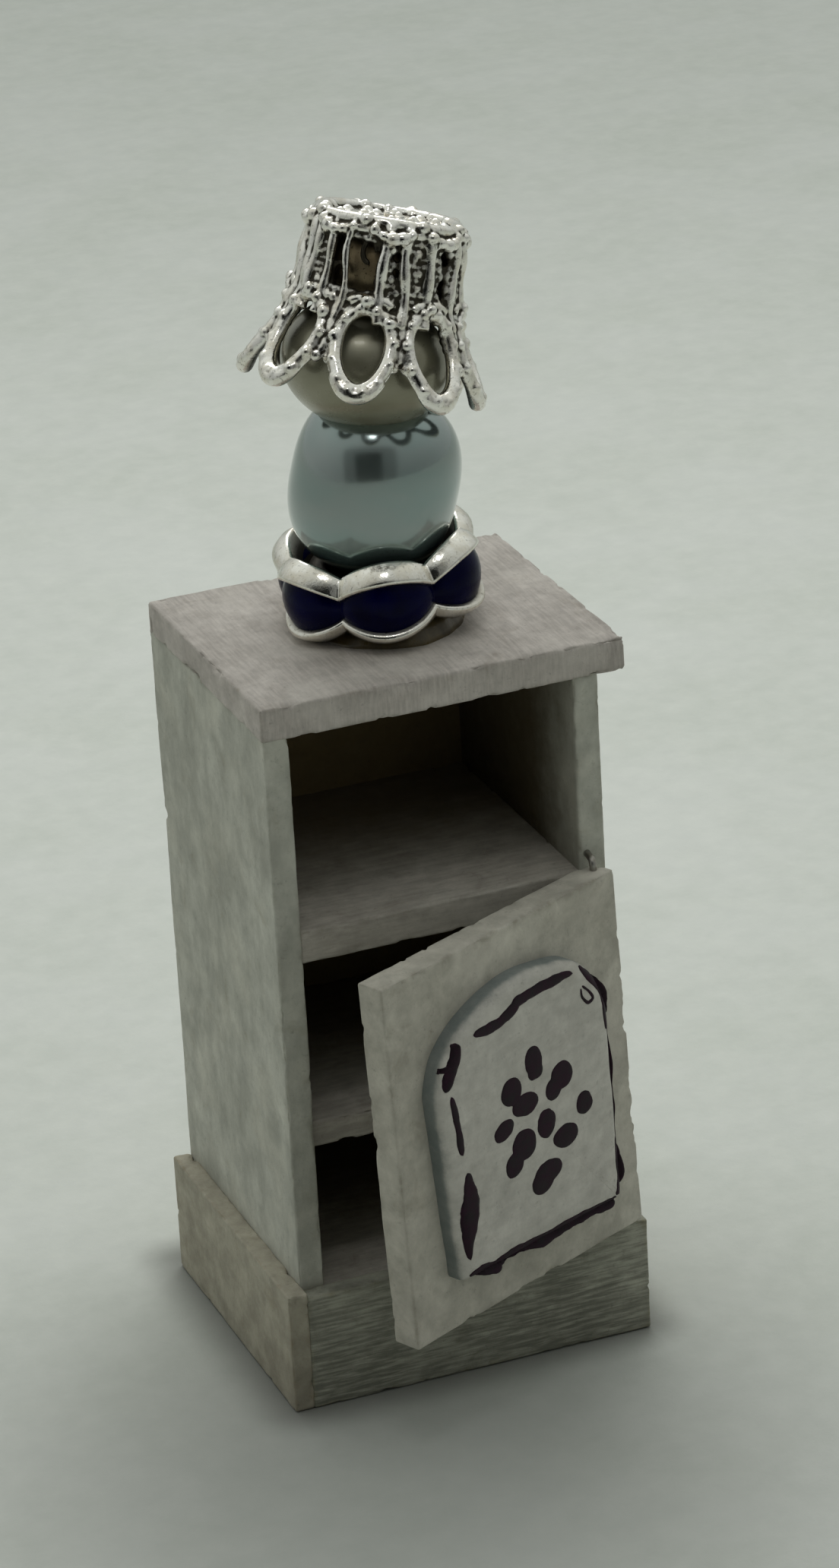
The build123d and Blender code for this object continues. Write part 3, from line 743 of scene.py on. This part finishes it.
# ---------------------------------------------------------------- lamp base ring
ring_up = leaning(-5.5)
RING = axes(ring_up)
ring_o = LAMP + np.array([0, 0, 55.25])


def ring_place(V):
    return ring_o + V @ RING


rn = Noise(51)
NA = 432
ANG = np.arange(NA) / NA * 2 * math.pi
lobe = np.abs(np.cos(3 * (ANG - math.radians(-85))))
L = lobe ** .85


def swept(rz, wob=.04, seed=0, flip=False):
    """rz: list of (r array, z array) around the ring, one per section corner."""
    n = Noise(300 + seed)
    V = []
    for k, (r, z) in enumerate(rz):
        r = np.broadcast_to(r, ANG.shape)
        z = np.broadcast_to(z, ANG.shape)
        p = np.c_[r * np.cos(ANG), r * np.sin(ANG), z]
        p = p + wob * np.c_[n.fbm(p * .5, 3), n.fbm(p * .5 + 9, 3), n.fbm(p * .5 + 17, 3)]
        V.append(p)
    V = np.array(V).transpose(1, 0, 2)
    m = V.shape[1]
    F = [(i * m + j, ((i + 1) % NA) * m + j, ((i + 1) % NA) * m + (j + 1) % m, i * m + (j + 1) % m)
         for i in range(NA) for j in range(m)]
    if flip:
        F = [f[::-1] for f in F]
    return V.reshape(-1, 3), F


ro, zo = 6.35 + .85 * L, .95 + 1.2 * L
ri, zi = 5.75 + .42 * L, 1.95 + 1.1 * L
sec = [(ro - .02, zo - .3), (ro + .1, zo - .22), (ro + .15, zo - .05), (ro + .08, zo + .1),
       ((ro * 2 + ri) / 3 + .12, (zo * 2 + zi) / 3 + .16), ((ro + 2 * ri) / 3 + .12, (zo + 2 * zi) / 3 + .16),
       (ri + .08, zi + .02), (ri - .04, zi + .1), (ri - .2, zi + .06), (ri - .34, zi - .12), (5.2 + 0 * L, 1.5 + .5 * L),
       (4.75 + 0 * L, .9 + .1 * L), (4.5 + 0 * L, .35 + 0 * L), (4.5 + 0 * L, -.1 + 0 * L), (5.2 + 0 * L, .1 + .3 * L), (ro - .5, zo - .55)]
V1, F1 = swept(sec, seed=1)
make("ring_flange_top", ring_place(V1), F1, FLANGE, replaces=["rondelle_top_flange"], slot="silver",
     attrs={"hollow_and_shade": np.tile([.3, .1, 0, .1, .05, .05, 0, 0, .1, .5, .9, 1, 1, 1, 1, .9], NA)})

ro2, zo2 = 6.3 + .8 * L, -(.95 + 1.05 * L)
ri2, zi2 = 5.95 + .35 * L, -(1.6 + .95 * L)
sec = [(ro2 - .02, zo2 + .3), (ro2 + .1, zo2 + .2), (ro2 + .14, zo2 + .02), (ro2 + .07, zo2 - .12),
       ((ro2 + ri2) / 2 + .12, (zo2 + zi2) / 2 - .12), (ri2 + .06, zi2 - .02), (ri2 - .06, zi2 - .1), (ri2 - .3, zi2 - .02),
       (5.2 + 0 * L, -1.55 - .3 * L), (4.5 + 0 * L, -1.6 - 0 * L), (4.5 + 0 * L, .1 + 0 * L), (5.2 + 0 * L, -.1 - .3 * L), (ro2 - .5, zo2 + .5)]
V2, F2 = swept(sec, seed=2, flip=True)
make("ring_flange_bottom", ring_place(V2), F2, FLANGE, replaces=["rondelle_bottom_flange"], slot="silver",
     attrs={"hollow_and_shade": np.tile([.4, .15, 0, .1, .1, .1, .2, .5, .8, 1, 1, 1, .9], NA)})

rs = 6.22 + .78 * L
zt, zb = .9 + 1.2 * L, -(.9 + 1.05 * L)
sec = []
for t in np.linspace(-1, 1, 11):
    sec.append((rs - .35 * t * t + .24 * (1 - t * t) * (.35 + .65 * L), (zt + zb) / 2 + (zt - zb) / 2 * t))
sec += [(5.0 + 0 * L, zt - .25), (4.7 + 0 * L, 0 * L), (5.0 + 0 * L, zb + .25)]
V3, F3 = swept(sec, wob=.03, seed=3)
make("ring_stones", ring_place(V3), F3, BLUE, replaces=["rondelle_stones"], slot="blue_glass")

core_wall = [(3.5, -2.0), (4.6, -2.0), (4.72, -1.0), (4.72, 1.0), (4.6, 1.3), (3.6, 1.3), (3.5, .8), (3.45, -1.5)]
lathe("ring_core", core_wall, FLANGE, ring_place, n=72, replaces=["rondelle_core"], slot="silver",
      attrs={"hollow_and_shade": np.full(72 * 8, .9)})

# glue wedge between the tilted ring and the top board
gn = Noise(77)
gr, gv = [], []
NG = 120
ga = np.arange(NG) / NG * 2 * math.pi
edge_r = 5.35 + .35 * gn.fbm(np.c_[np.cos(ga) * 2, np.sin(ga) * 2, 0 * ga], 3) + .25 * np.cos(ga)
rows = [(1.04, 0.0), (1.05, .08), (1.01, .35), (.97, .65), (.93, .95), (.8, 1.0), (.5, 1.0), (.2, 1.0)]
for f, t in rows:
    x, y = np.cos(ga) * edge_r * f, np.sin(ga) * edge_r * f
    roof = 52 + .72 + x * math.tan(math.radians(5.5)) + .25
    z = 51.9 + (roof - 51.9) * t
    gv.append(LAMP + x[:, None] * SIDE + y[:, None] * np.array([-SIDE[1], SIDE[0], 0]) + z[:, None] * np.array([0, 0, 1.0]))
V = np.concatenate(gv)
F = grid_loop((len(rows), NG))
top_c = LAMP + np.array([0, 0, 52.97])
low_c = LAMP + np.array([0, 0, 51.9])
V = np.vstack([V, top_c, low_c])
F += [((len(rows) - 1) * NG + j, (len(rows) - 1) * NG + (j + 1) % NG, len(V) - 2) for j in range(NG)]
F += [((j + 1) % NG, j, len(V) - 1) for j in range(NG)]
make("lamp_glue_fillet", V, F, GLUE, replaces=["lamp_glue"], slot="glue")


# ---------------------------------------------------------------- beads
def bead_profile(rx, rz, bore, power=2.0, n=60):
    t0 = math.asin(min(.9, (bore / rx) ** (power / 2)))
    out = []
    for t in np.linspace(t0, math.pi - t0, n):
        c = math.cos(t)
        out.append((rx * math.sin(t) ** (2 / power), rz * math.copysign(abs(c) ** (2 / power), c)))
    lip = bore * .82
    zt = out[0][1]
    out = [(lip, zt - .22), (lip + .04, zt - .06)] + out + [(lip + .04, -zt + .06), (lip, -zt + .22)]
    return out[::-1]


PA = axes(leaning(14.0))
pearl_o = LAMP + SIDE * .055 + np.array([0, 0, 61.95])
lathe("pearl_bead", bead_profile(5.7, 6.15, .9, power=2.6), PEARL, lambda V: pearl_o + V @ PA, n=144,
      replaces=["lamp_bead"], slot="pearl")

_s, _b = math.sin(math.radians(12.75)), math.sin(math.radians(11.54))
shade_up = SIDE * _s + AWAY * _b + np.array([0, 0, math.sqrt(1 - _s * _s - _b * _b)])
SA = axes(shade_up)
shade_o = LAMP - SIDE * .585 - AWAY * .44 + np.array([0, 0, 68.47])
ub = shade_o + shade_up * 2.1
lathe("smoky_bead", bead_profile(5.68, 4.5, 1.0), SMOKE, lambda V: ub + V @ SA, n=128,
      replaces=["lamp_upper_bead"], slot="smoke_glass")

# a dark sheet inside the crown: painted shade where the inside of the cap lies in shadow
lathe("lampshade_shadow_liner", [(4.32, 6.0), (4.42, 8.5), (4.30, 11.2), (4.1, 11.2), (4.2, 8.5), (4.12, 6.0)], SHADOW_LINER, lambda V: shade_o + V @ SA,
      n=96, closed=True, replaces=["lamp_shade"])

# ---------------------------------------------------------------- filigree shade
# outer profile of the cap, (height up its axis, radius)
R_Z = np.array([(-.6, 8.5), (0, 8.35), (1, 8.15), (2, 7.8), (3.4, 7.05), (5.0, 6.34), (6.4, 5.88), (8.1, 5.68), (9.7, 5.62),
                (10.9, 5.45), (11.7, 5.1), (12.2, 4.65), (12.8, 4.0)])


def R_at(z):
    return np.interp(z, R_Z[:, 0], R_Z[:, 1])


def on_shade(theta, a, z, out=0.0):
    """a mm sideways from the meridian theta, z mm up the axis, out mm proud of the surface."""
    R = R_at(z)
    th = theta + a / R
    R = R + out
    return np.stack([R * np.cos(th), R * np.sin(th), z + 0 * th], -1)


parts = []


def tube(P, r, sides=10, closed=False):
    P = np.array(P, float)
    n = len(P)
    if closed:
        T = np.roll(P, -1, 0) - np.roll(P, 1, 0)
    else:
        T = np.gradient(P, axis=0)
    T /= np.linalg.norm(T, axis=1)[:, None]
    ref = P * np.array([1, 1, 0])
    ref /= np.maximum(np.linalg.norm(ref, axis=1)[:, None], 1e-6)
    S = np.cross(T, ref)
    S /= np.maximum(np.linalg.norm(S, axis=1)[:, None], 1e-6)
    U = np.cross(S, T)
    r = np.broadcast_to(r, (n,)) if np.ndim(r) < 2 else r
    a = np.arange(sides) / sides * 2 * math.pi
    V = P[:, None] + r[:, None, None] * (np.cos(a)[None, :, None] * S[:, None] + np.sin(a)[None, :, None] * U[:, None])
    V = V.reshape(-1, 3)
    F = []
    for i in range(n if closed else n - 1):
        for j in range(sides):
            F.append((i * sides + j, i * sides + (j + 1) % sides, ((i + 1) % n) * sides + (j + 1) % sides, ((i + 1) % n) * sides + j))
    if not closed:
        F.append(tuple(reversed(range(sides))))
        F.append(tuple((n - 1) * sides + j for j in range(sides)))
    parts.append((V, F))


_ico = bmesh.new()
bmesh.ops.create_icosphere(_ico, subdivisions=2, radius=1.0)
ICO_V = np.array([v.co[:] for v in _ico.verts])
ICO_F = [tuple(v.index for v in f.verts) for f in _ico.faces]
_ico.free()
rng = np.random.default_rng(5)


def granule(p, r):
    v = ICO_V * r * (1 + .08 * rng.standard_normal(3))
    parts.append((v + p, ICO_F))


PET = [math.radians(-94 + 45.0 * k) for k in range(8)]
for k, th in enumerate(PET):
    jit = rng.standard_normal(8) * .07
    # petal: a heavy oval rim, a little pointed at its foot
    q = np.linspace(0, 2 * math.pi, 72, endpoint=False)
    ha, hz, mz = 1.98 + jit[0], 2.62 + jit[1], 3.62 + jit[2] * .5
    a = ha * np.sin(q) * (1 - .08 * np.cos(q))
    z = mz - hz * np.cos(q)
    tube(on_shade(th, a, z, -.42), .47 + .06 * np.cos(q), closed=True)
    tube(on_shade(th, a * 1.16, mz - hz * 1.07 * np.cos(q), -.5), .34, closed=True)
    # granules round the rim
    for i in range(12):
        qq = (i + .5) / 12 * 2 * math.pi + jit[3]
        aa = ha * 1.08 * math.sin(qq) * (1 - .08 * math.cos(qq))
        zz = mz - hz * 1.04 * math.cos(qq)
        granule(on_shade(th, np.array(aa), np.array(zz), -.16), .40 + .05 * rng.standard_normal())
    # foot of the petal, thickened and running to a blunt tip
    q = np.linspace(-.95, .95, 20)
    tube(on_shade(th, 1.95 * np.sin(q), mz - (hz + .35) * np.cos(q), -.38), .40 * np.cos(q * .9) + .2)
    # web between neighbouring petals, above the notch
    th2 = th + math.radians(22.5)
    zz = np.linspace(3.4, 6.6, 12)
    tube(on_shade(th2, 0 * zz, zz, -.55), .34 + .1 * np.sin((zz - 3.4) / 3.2 * math.pi))
# ribs of the crown: uneven, some broad, some thin
RIBS = [(-88, .52), (-77, .5), (-66, .5), (-57, .42), (-43, .30), (-26, .24), (2, .40), (17, .38), (34, .46), (63, .40), (80, .42),
        (97, .42), (113, .34), (142, .42), (158, .40), (175, .42), (203, .40), (220, .42), (237, .38), (258, .42)]
for i, (deg, r_) in enumerate(RIBS):
    th = math.radians(deg - 90)
    zz = np.linspace(5.3, 11.7, 34)
    bow = .22 * np.sin((zz - 5.3) / 6.4 * math.pi * (1 + i % 2)) * (1 if i % 3 else -1)
    tube(on_shade(th, bow, zz, -r_ - .02), r_ * (1 + .14 * np.sin(zz * 2.3 + i)))
# scrolls inside the wider openings
for i, (deg, z0, r0) in enumerate([(-34, 8.0, .55), (-12, 9.9, .5), (48, 8.7, .55), (128, 9, .6), (190, 8.6, .6), (247, 9.3, .5)]):
    q = np.linspace(0, 1.6 * math.pi, 22)
    tube(on_shade(math.radians(deg - 90), r0 * np.cos(q), z0 + 1.5 * r0 * np.sin(q), -.75), .2)
# arches over the petals, each with its granule
for k, th in enumerate(PET):
    q = np.linspace(-1.35, 1.35, 16)
    tube(on_shade(th, 1.5 * np.sin(q), 6.35 + .55 * np.cos(q), -.4), .33)
    granule(on_shade(th, np.array(-.25), np.array(6.75), -.05), .43)
    # garland of granules under the rim, dipping over each petal
    for i, t in enumerate(np.linspace(-1, 1, 7)):
        granule(on_shade(th + math.radians(8), np.array(1.95 * t), np.array(10.95 + .95 * t * t), -.06),
                .43 + .05 * rng.standard_normal())
# hammered wall between the petals and round the crown, with uneven windows left in it
WINDOWS = [(-43, -2, 7.2, 10.7), (7, 17, 8.2, 10.3), (47, 56, 7.2, 10.7), (-70, -62, 8.0, 10.2), (80, 91, 7.4, 10.6), (102, 111, 7.6, 10.3),
           (120, 137, 7.2, 10.6), (147, 155, 8.0, 10.4), (163, 171, 7.4, 10.5), (181, 199, 7.2, 10.6), (208, 216, 7.8, 10.2),
           (226, 235, 7.4, 10.6), (244, 254, 7.4, 10.5)]
for zw in np.arange(2.75, 11.6, .47):
    ring_n = int(2 * math.pi * R_at(zw) / .47)
    for i in range(ring_n):
        thw = (i + .5 * (int(zw / .47) % 2)) / ring_n * 2 * math.pi
        dth = min((math.remainder(thw - t, 2 * math.pi) for t in PET), key=abs)
        aw = dth * R_at(zw)
        if (aw / 1.95) ** 2 + ((zw - 3.62) / 2.6) ** 2 < 1:
            continue
        if abs(aw) > 2.2 and zw < 3.2 - .5 * (int(i) % 2):
            continue
        ph = math.degrees(thw) + 90
        if any(lo_ < (ph - lo_ + 180) % 360 + lo_ - 180 < hi_ or lo_ < (ph - hi_ + 180) % 360 + hi_ - 180 < hi_
               for lo_, hi_, z0_, z1_ in WINDOWS if z0_ < zw < z1_):
            continue
        granule(on_shade(thw, np.array(.05 * rng.standard_normal()), np.array(zw + .05 * rng.standard_normal()), -.66),
                .38 + .03 * rng.standard_normal())
# waist and crown rings
q = np.linspace(0, 2 * math.pi, 160, endpoint=False)
tube(on_shade(q, 0 * q, 5.95 + .2 * np.cos(8 * (q - PET[0])), -.5), .3, closed=True)
tube(on_shade(q, 0 * q, 11.15 + .2 * np.cos(8 * (q - PET[0] - .14) + math.pi), -.45), .42, closed=True)
tube(on_shade(q, 0 * q, 11.8 + .06 * np.sin(3 * q), -.4), .42, closed=True)
for i in range(17):
    t = i / 17 * 2 * math.pi + .1
    rr_ = 4.42 + .08 * rng.standard_normal()
    granule(np.array([rr_ * math.cos(t), rr_ * math.sin(t), 11.78 + .1 * rng.standard_normal()]), .44 + .04 * rng.standard_normal())
for i in range(11):
    t = i / 11 * 2 * math.pi + .3
    granule(np.array([3.25 * math.cos(t), 3.25 * math.sin(t), 11.75 + .07 * rng.standard_normal()]), .40 + .04 * rng.standard_normal())
for i in range(7):
    t = i / 7 * 2 * math.pi + .3
    granule(np.array([1.7 * math.cos(t), 1.7 * math.sin(t), 11.75]), .38)
# lid over the crown
disc = [(.6, 11.3), (3.6, 11.3), (4.3, 11.2), (4.45, 11.45), (3.9, 11.72), (.7, 11.78)]
dn, dm = 72, len(disc)
da = np.arange(dn) / dn * 2 * math.pi
dv = np.stack([np.outer(np.cos(da), [p[0] for p in disc]), np.outer(np.sin(da), [p[0] for p in disc]),
               np.outer(np.ones(dn), [p[1] for p in disc])], -1).reshape(-1, 3)
df = [(i * dm + j, ((i + 1) % dn) * dm + j, ((i + 1) % dn) * dm + (j + 1) % dm, i * dm + (j + 1) % dm) for i in range(dn) for j in range(dm)]
parts.append((dv, df))

V, F = join(parts)
me = bpy.data.meshes.new("shade_raw")
me.from_pydata(V.tolist(), [], F)
me.update()
bm = bmesh.new()
bm.from_mesh(me)
bmesh.ops.recalc_face_normals(bm, faces=bm.faces)
bm.to_mesh(me)
bm.free()
raw = bpy.data.objects.new("shade_raw", me)
scene.collection.objects.link(raw)
mod = raw.modifiers.new("r", "REMESH")
mod.mode = "VOXEL"
mod.voxel_size = .11
mod.use_smooth_shade = True
sm = raw.modifiers.new("s", "SMOOTH")
sm.factor = .5
sm.iterations = 2
dg = bpy.context.evaluated_depsgraph_get()
done = bpy.data.meshes.new_from_object(raw.evaluated_get(dg))
nv = len(done.vertices)
co = np.zeros(nv * 3)
done.vertices.foreach_get("co", co)
co = co.reshape(-1, 3)
ed = np.zeros(len(done.edges) * 2, int)
done.edges.foreach_get("vertices", ed)
ed = ed.reshape(-1, 2)
no = np.zeros(nv * 3)
done.vertices.foreach_get("normal", no)
no = no.reshape(-1, 3)


def spread(val, rounds):
    cnt = np.zeros(nv)
    np.add.at(cnt, ed[:, 0], 1)
    np.add.at(cnt, ed[:, 1], 1)
    for _ in range(rounds):
        acc = np.zeros_like(val)
        np.add.at(acc, ed[:, 0], val[ed[:, 1]])
        np.add.at(acc, ed[:, 1], val[ed[:, 0]])
        val = .5 * val + .5 * (acc.T / cnt).T
    return val


smooth = spread(co, 4)
conc = np.einsum("ij,ij->i", smooth - co, no)          # positive in hollows
conc = spread(conc, 1)
rad = np.linalg.norm(co[:, :2], axis=1)
# inside faces of the cap's wall are darkened: painted shade inside the cap, added to the tarnish in the hollows
inner = np.where(co[:, 2] > 5.9, np.clip((R_at(co[:, 2]) - .2 - rad) / .3, 0, 1), np.clip((R_at(co[:, 2]) - .4 - rad) / .45, 0, 1))
inner *= co[:, 2] < 11.4
hollow_and_shade = np.clip(conc / .016, 0, 1) * .9 + .7 * inner
hollow_and_shade = np.clip(hollow_and_shade, 0, 1)
faces = [tuple(p.vertices) for p in done.polygons]
make("shade_filigree", shade_o + co @ SA, faces, SHADE, replaces=["lamp_shade"], slot="silver", attrs={"hollow_and_shade": hollow_and_shade})
bpy.data.objects.remove(raw)
bpy.data.meshes.remove(me)
bpy.data.meshes.remove(done)


# ---------------------------------------------------------------- floor
def floor_mat():
    M = Mat("paper_floor")
    a = M.fit(M.noise(.05, 4, .6), .35, .65)
    b = M.fit(M.noise(.35, 5, .65, shift=(9, 2, 0)), .35, .7)
    col = M.mix(a, lin(214, 217, 212), lin(207, 211, 204))
    col = M.mix(M.math("MULTIPLY", b, .35), col, lin(230, 232, 226))
    def dist(x0, y0, hx, hy):
        dx = M.math("MAXIMUM", M.math("SUBTRACT", M.math("ABSOLUTE", M.math("SUBTRACT", M.xyz("X"), x0)), hx), 0)
        dy = M.math("MAXIMUM", M.math("SUBTRACT", M.math("ABSOLUTE", M.math("SUBTRACT", M.xyz("Y"), y0)), hy), 0)
        return M.math("SQRT", M.math("ADD", M.math("MULTIPLY", dx, dx), M.math("MULTIPLY", dy, dy)))
    # painted cast shadow: a soft dark patch on the floor in front of and left of the cabinet
    cast_shadow = M.fit(dist(-10, -16, 2, 2), 46, 2, smooth=True)
    col = M.mix(M.math("MULTIPLY", cast_shadow, .5), col, lin(112, 113, 108))
    # painted contact shadow: the floor darkens close round the plinth
    contact_shadow = M.fit(dist((XL + XR) / 2, (YF + YB) / 2, (XR - XL) / 2 + .8, (YB - YF) / 2 + .9), 4.5, 0, smooth=True)
    col = M.mix(M.math("MULTIPLY", contact_shadow, .6), col, lin(72, 70, 64))
    M.set(Base_Color=col, Roughness=.9)
    M.p.inputs["Specular IOR Level"].default_value = .2
    M.link(M.bump(M.noise(.8, 5, .65), .25, .0002), M.p.inputs["Normal"])
    return M.m


fm = bpy.data.meshes.new("floor")
fm.from_pydata([(-3, -3, 0), (3, -3, 0), (3, 3, 0), (-3, 3, 0)], [], [(0, 1, 2, 3)])
fo = bpy.data.objects.new("studio_floor", fm)
scene.collection.objects.link(fo)
fm.materials.append(floor_mat())
fo.location = (0, 0, -.00002)

# ---------------------------------------------------------------- light
world = bpy.data.worlds.new("studio")
scene.world = world
world.use_nodes = True
wt = world.node_tree
wt.nodes.clear()
wo = wt.nodes.new("ShaderNodeOutputWorld")
wb = wt.nodes.new("ShaderNodeBackground")
wt.links.new(wb.outputs[0], wo.inputs[0])
tc = wt.nodes.new("ShaderNodeTexCoord")


def wmath(op, a, b=None, c=None, clamp=False):
    n = wt.nodes.new("ShaderNodeMath")
    n.operation = op
    n.use_clamp = clamp
    for k, v in enumerate((a, b, c)):
        if v is None:
            continue
        if hasattr(v, "is_linked"):
            wt.links.new(v, n.inputs[k])
        else:
            n.inputs[k].default_value = v
    return n.outputs[0]


def wdot(vec):
    n = wt.nodes.new("ShaderNodeVectorMath")
    n.operation = "DOT_PRODUCT"
    wt.links.new(tc.outputs["Generated"], n.inputs[0])
    n.inputs[1].default_value = vec
    return n.outputs["Value"]


def wfit(v, a, b, lo, hi):
    n = wt.nodes.new("ShaderNodeMapRange")
    n.interpolation_type = "SMOOTHSTEP"
    wt.links.new(v, n.inputs[0])
    n.inputs[1].default_value, n.inputs[2].default_value = a, b
    n.inputs[3].default_value, n.inputs[4].default_value = lo, hi
    return n.outputs[0]


up_part = wfit(wdot((0, 0, 1)), -.1, .95, .50, .95)
back_part = wfit(wdot((.15, 1, 0)), -1, 1, .62, 1.25)
front = Vector((math.sin(math.radians(-20.8)) * math.cos(math.radians(26)),
                -math.cos(math.radians(-20.8)) * math.cos(math.radians(26)), math.sin(math.radians(26))))
fx = Vector((0, 0, 1)).cross(front).normalized()
fz = front.cross(fx).normalized()
fwd_amt = wdot(front)
px_ = wmath("DIVIDE", wdot(fx), wmath("MAXIMUM", fwd_amt, .05))
pz_ = wmath("DIVIDE", wdot(fz), wmath("MAXIMUM", fwd_amt, .05))


def box_patch(cx, cz, hw, hh, soft):
    ax = wmath("ABSOLUTE", wmath("SUBTRACT", px_, cx))
    az_ = wmath("ABSOLUTE", wmath("SUBTRACT", pz_, cz))
    m = wmath("MULTIPLY", wfit(ax, hw + soft, hw - soft, 0, 1), wfit(az_, hh + soft, hh - soft, 0, 1))
    return wmath("MULTIPLY", m, wfit(fwd_amt, .1, .2, 0, 1))


dark1 = box_patch(-.30, -.26, .80, .66, .12)
dark2 = box_patch(-.25, -.22, .36, .42, .07)
amount = wmath("MULTIPLY", wmath("SUBTRACT", 1.0, wmath("MULTIPLY", dark1, .55)), wmath("SUBTRACT", 1.0, wmath("MULTIPLY", dark2, .97)))
strength = wmath("MULTIPLY", wmath("MULTIPLY", up_part, back_part), amount)
wt.links.new(wmath("MULTIPLY", strength, .745), wb.inputs["Strength"])
wb.inputs["Color"].default_value = (.96, 1.0, .955, 1)


def area(name, loc_mm, target_mm, w, h, power, color=(1, 1, 1)):
    li = bpy.data.lights.new(name, "AREA")
    li.shape = "RECTANGLE"
    li.size, li.size_y = w * MM, h * MM
    li.energy = power
    li.color = color
    o = bpy.data.objects.new(name, li)
    scene.collection.objects.link(o)
    o.location = Vector(loc_mm) * MM
    d = Vector(target_mm) - Vector(loc_mm)
    o.rotation_mode = "QUATERNION"
    o.rotation_quaternion = d.to_track_quat("-Z", "Y")
    return o


area("softbox_back", (50, 150, 240), (0, 10, 20), 170, 120, .16, (1, 1, .985))
f_ = Vector((math.sin(math.radians(-24)) * math.cos(math.radians(66)), -math.cos(math.radians(-24)) * math.cos(math.radians(66)),
             math.sin(math.radians(66)))) * 260 + Vector((0, 0, 60))
area("small_lamp", tuple(f_), (0, 4, 60), 50, 24, .03, (1, 1, 1))

# ---------------------------------------------------------------- camera
az, el, roll = math.radians(-20.799), math.radians(23.914), math.radians(-3.234)
back = np.array([math.sin(az) * math.cos(el), -math.cos(az) * math.cos(el), math.sin(el)])
right = np.cross(-back, [0, 0, 1])
right /= np.linalg.norm(right)
upv = np.cross(right, -back)
r2 = math.cos(roll) * right + math.sin(roll) * upv
u2 = -math.sin(roll) * right + math.cos(roll) * upv
cam = bpy.data.cameras.new("camera")
cam.lens = 6936.309 / 2064 * 36
cam.sensor_width = 36
cam.shift_x, cam.shift_y = .00883, -.00324
cam.clip_start, cam.clip_end = .01, 20
co_ = bpy.data.objects.new("camera", cam)
scene.collection.objects.link(co_)
loc = (np.array([1.697, 5.982, 39.798]) + back * 363.08) * MM
co_.matrix_world = Matrix(((r2[0], u2[0], back[0], loc[0]), (r2[1], u2[1], back[1], loc[1]),
                           (r2[2], u2[2], back[2], loc[2]), (0, 0, 0, 1)))
scene.camera = co_
scene.view_settings.view_transform = "Standard"
scene.view_settings.look = "None"
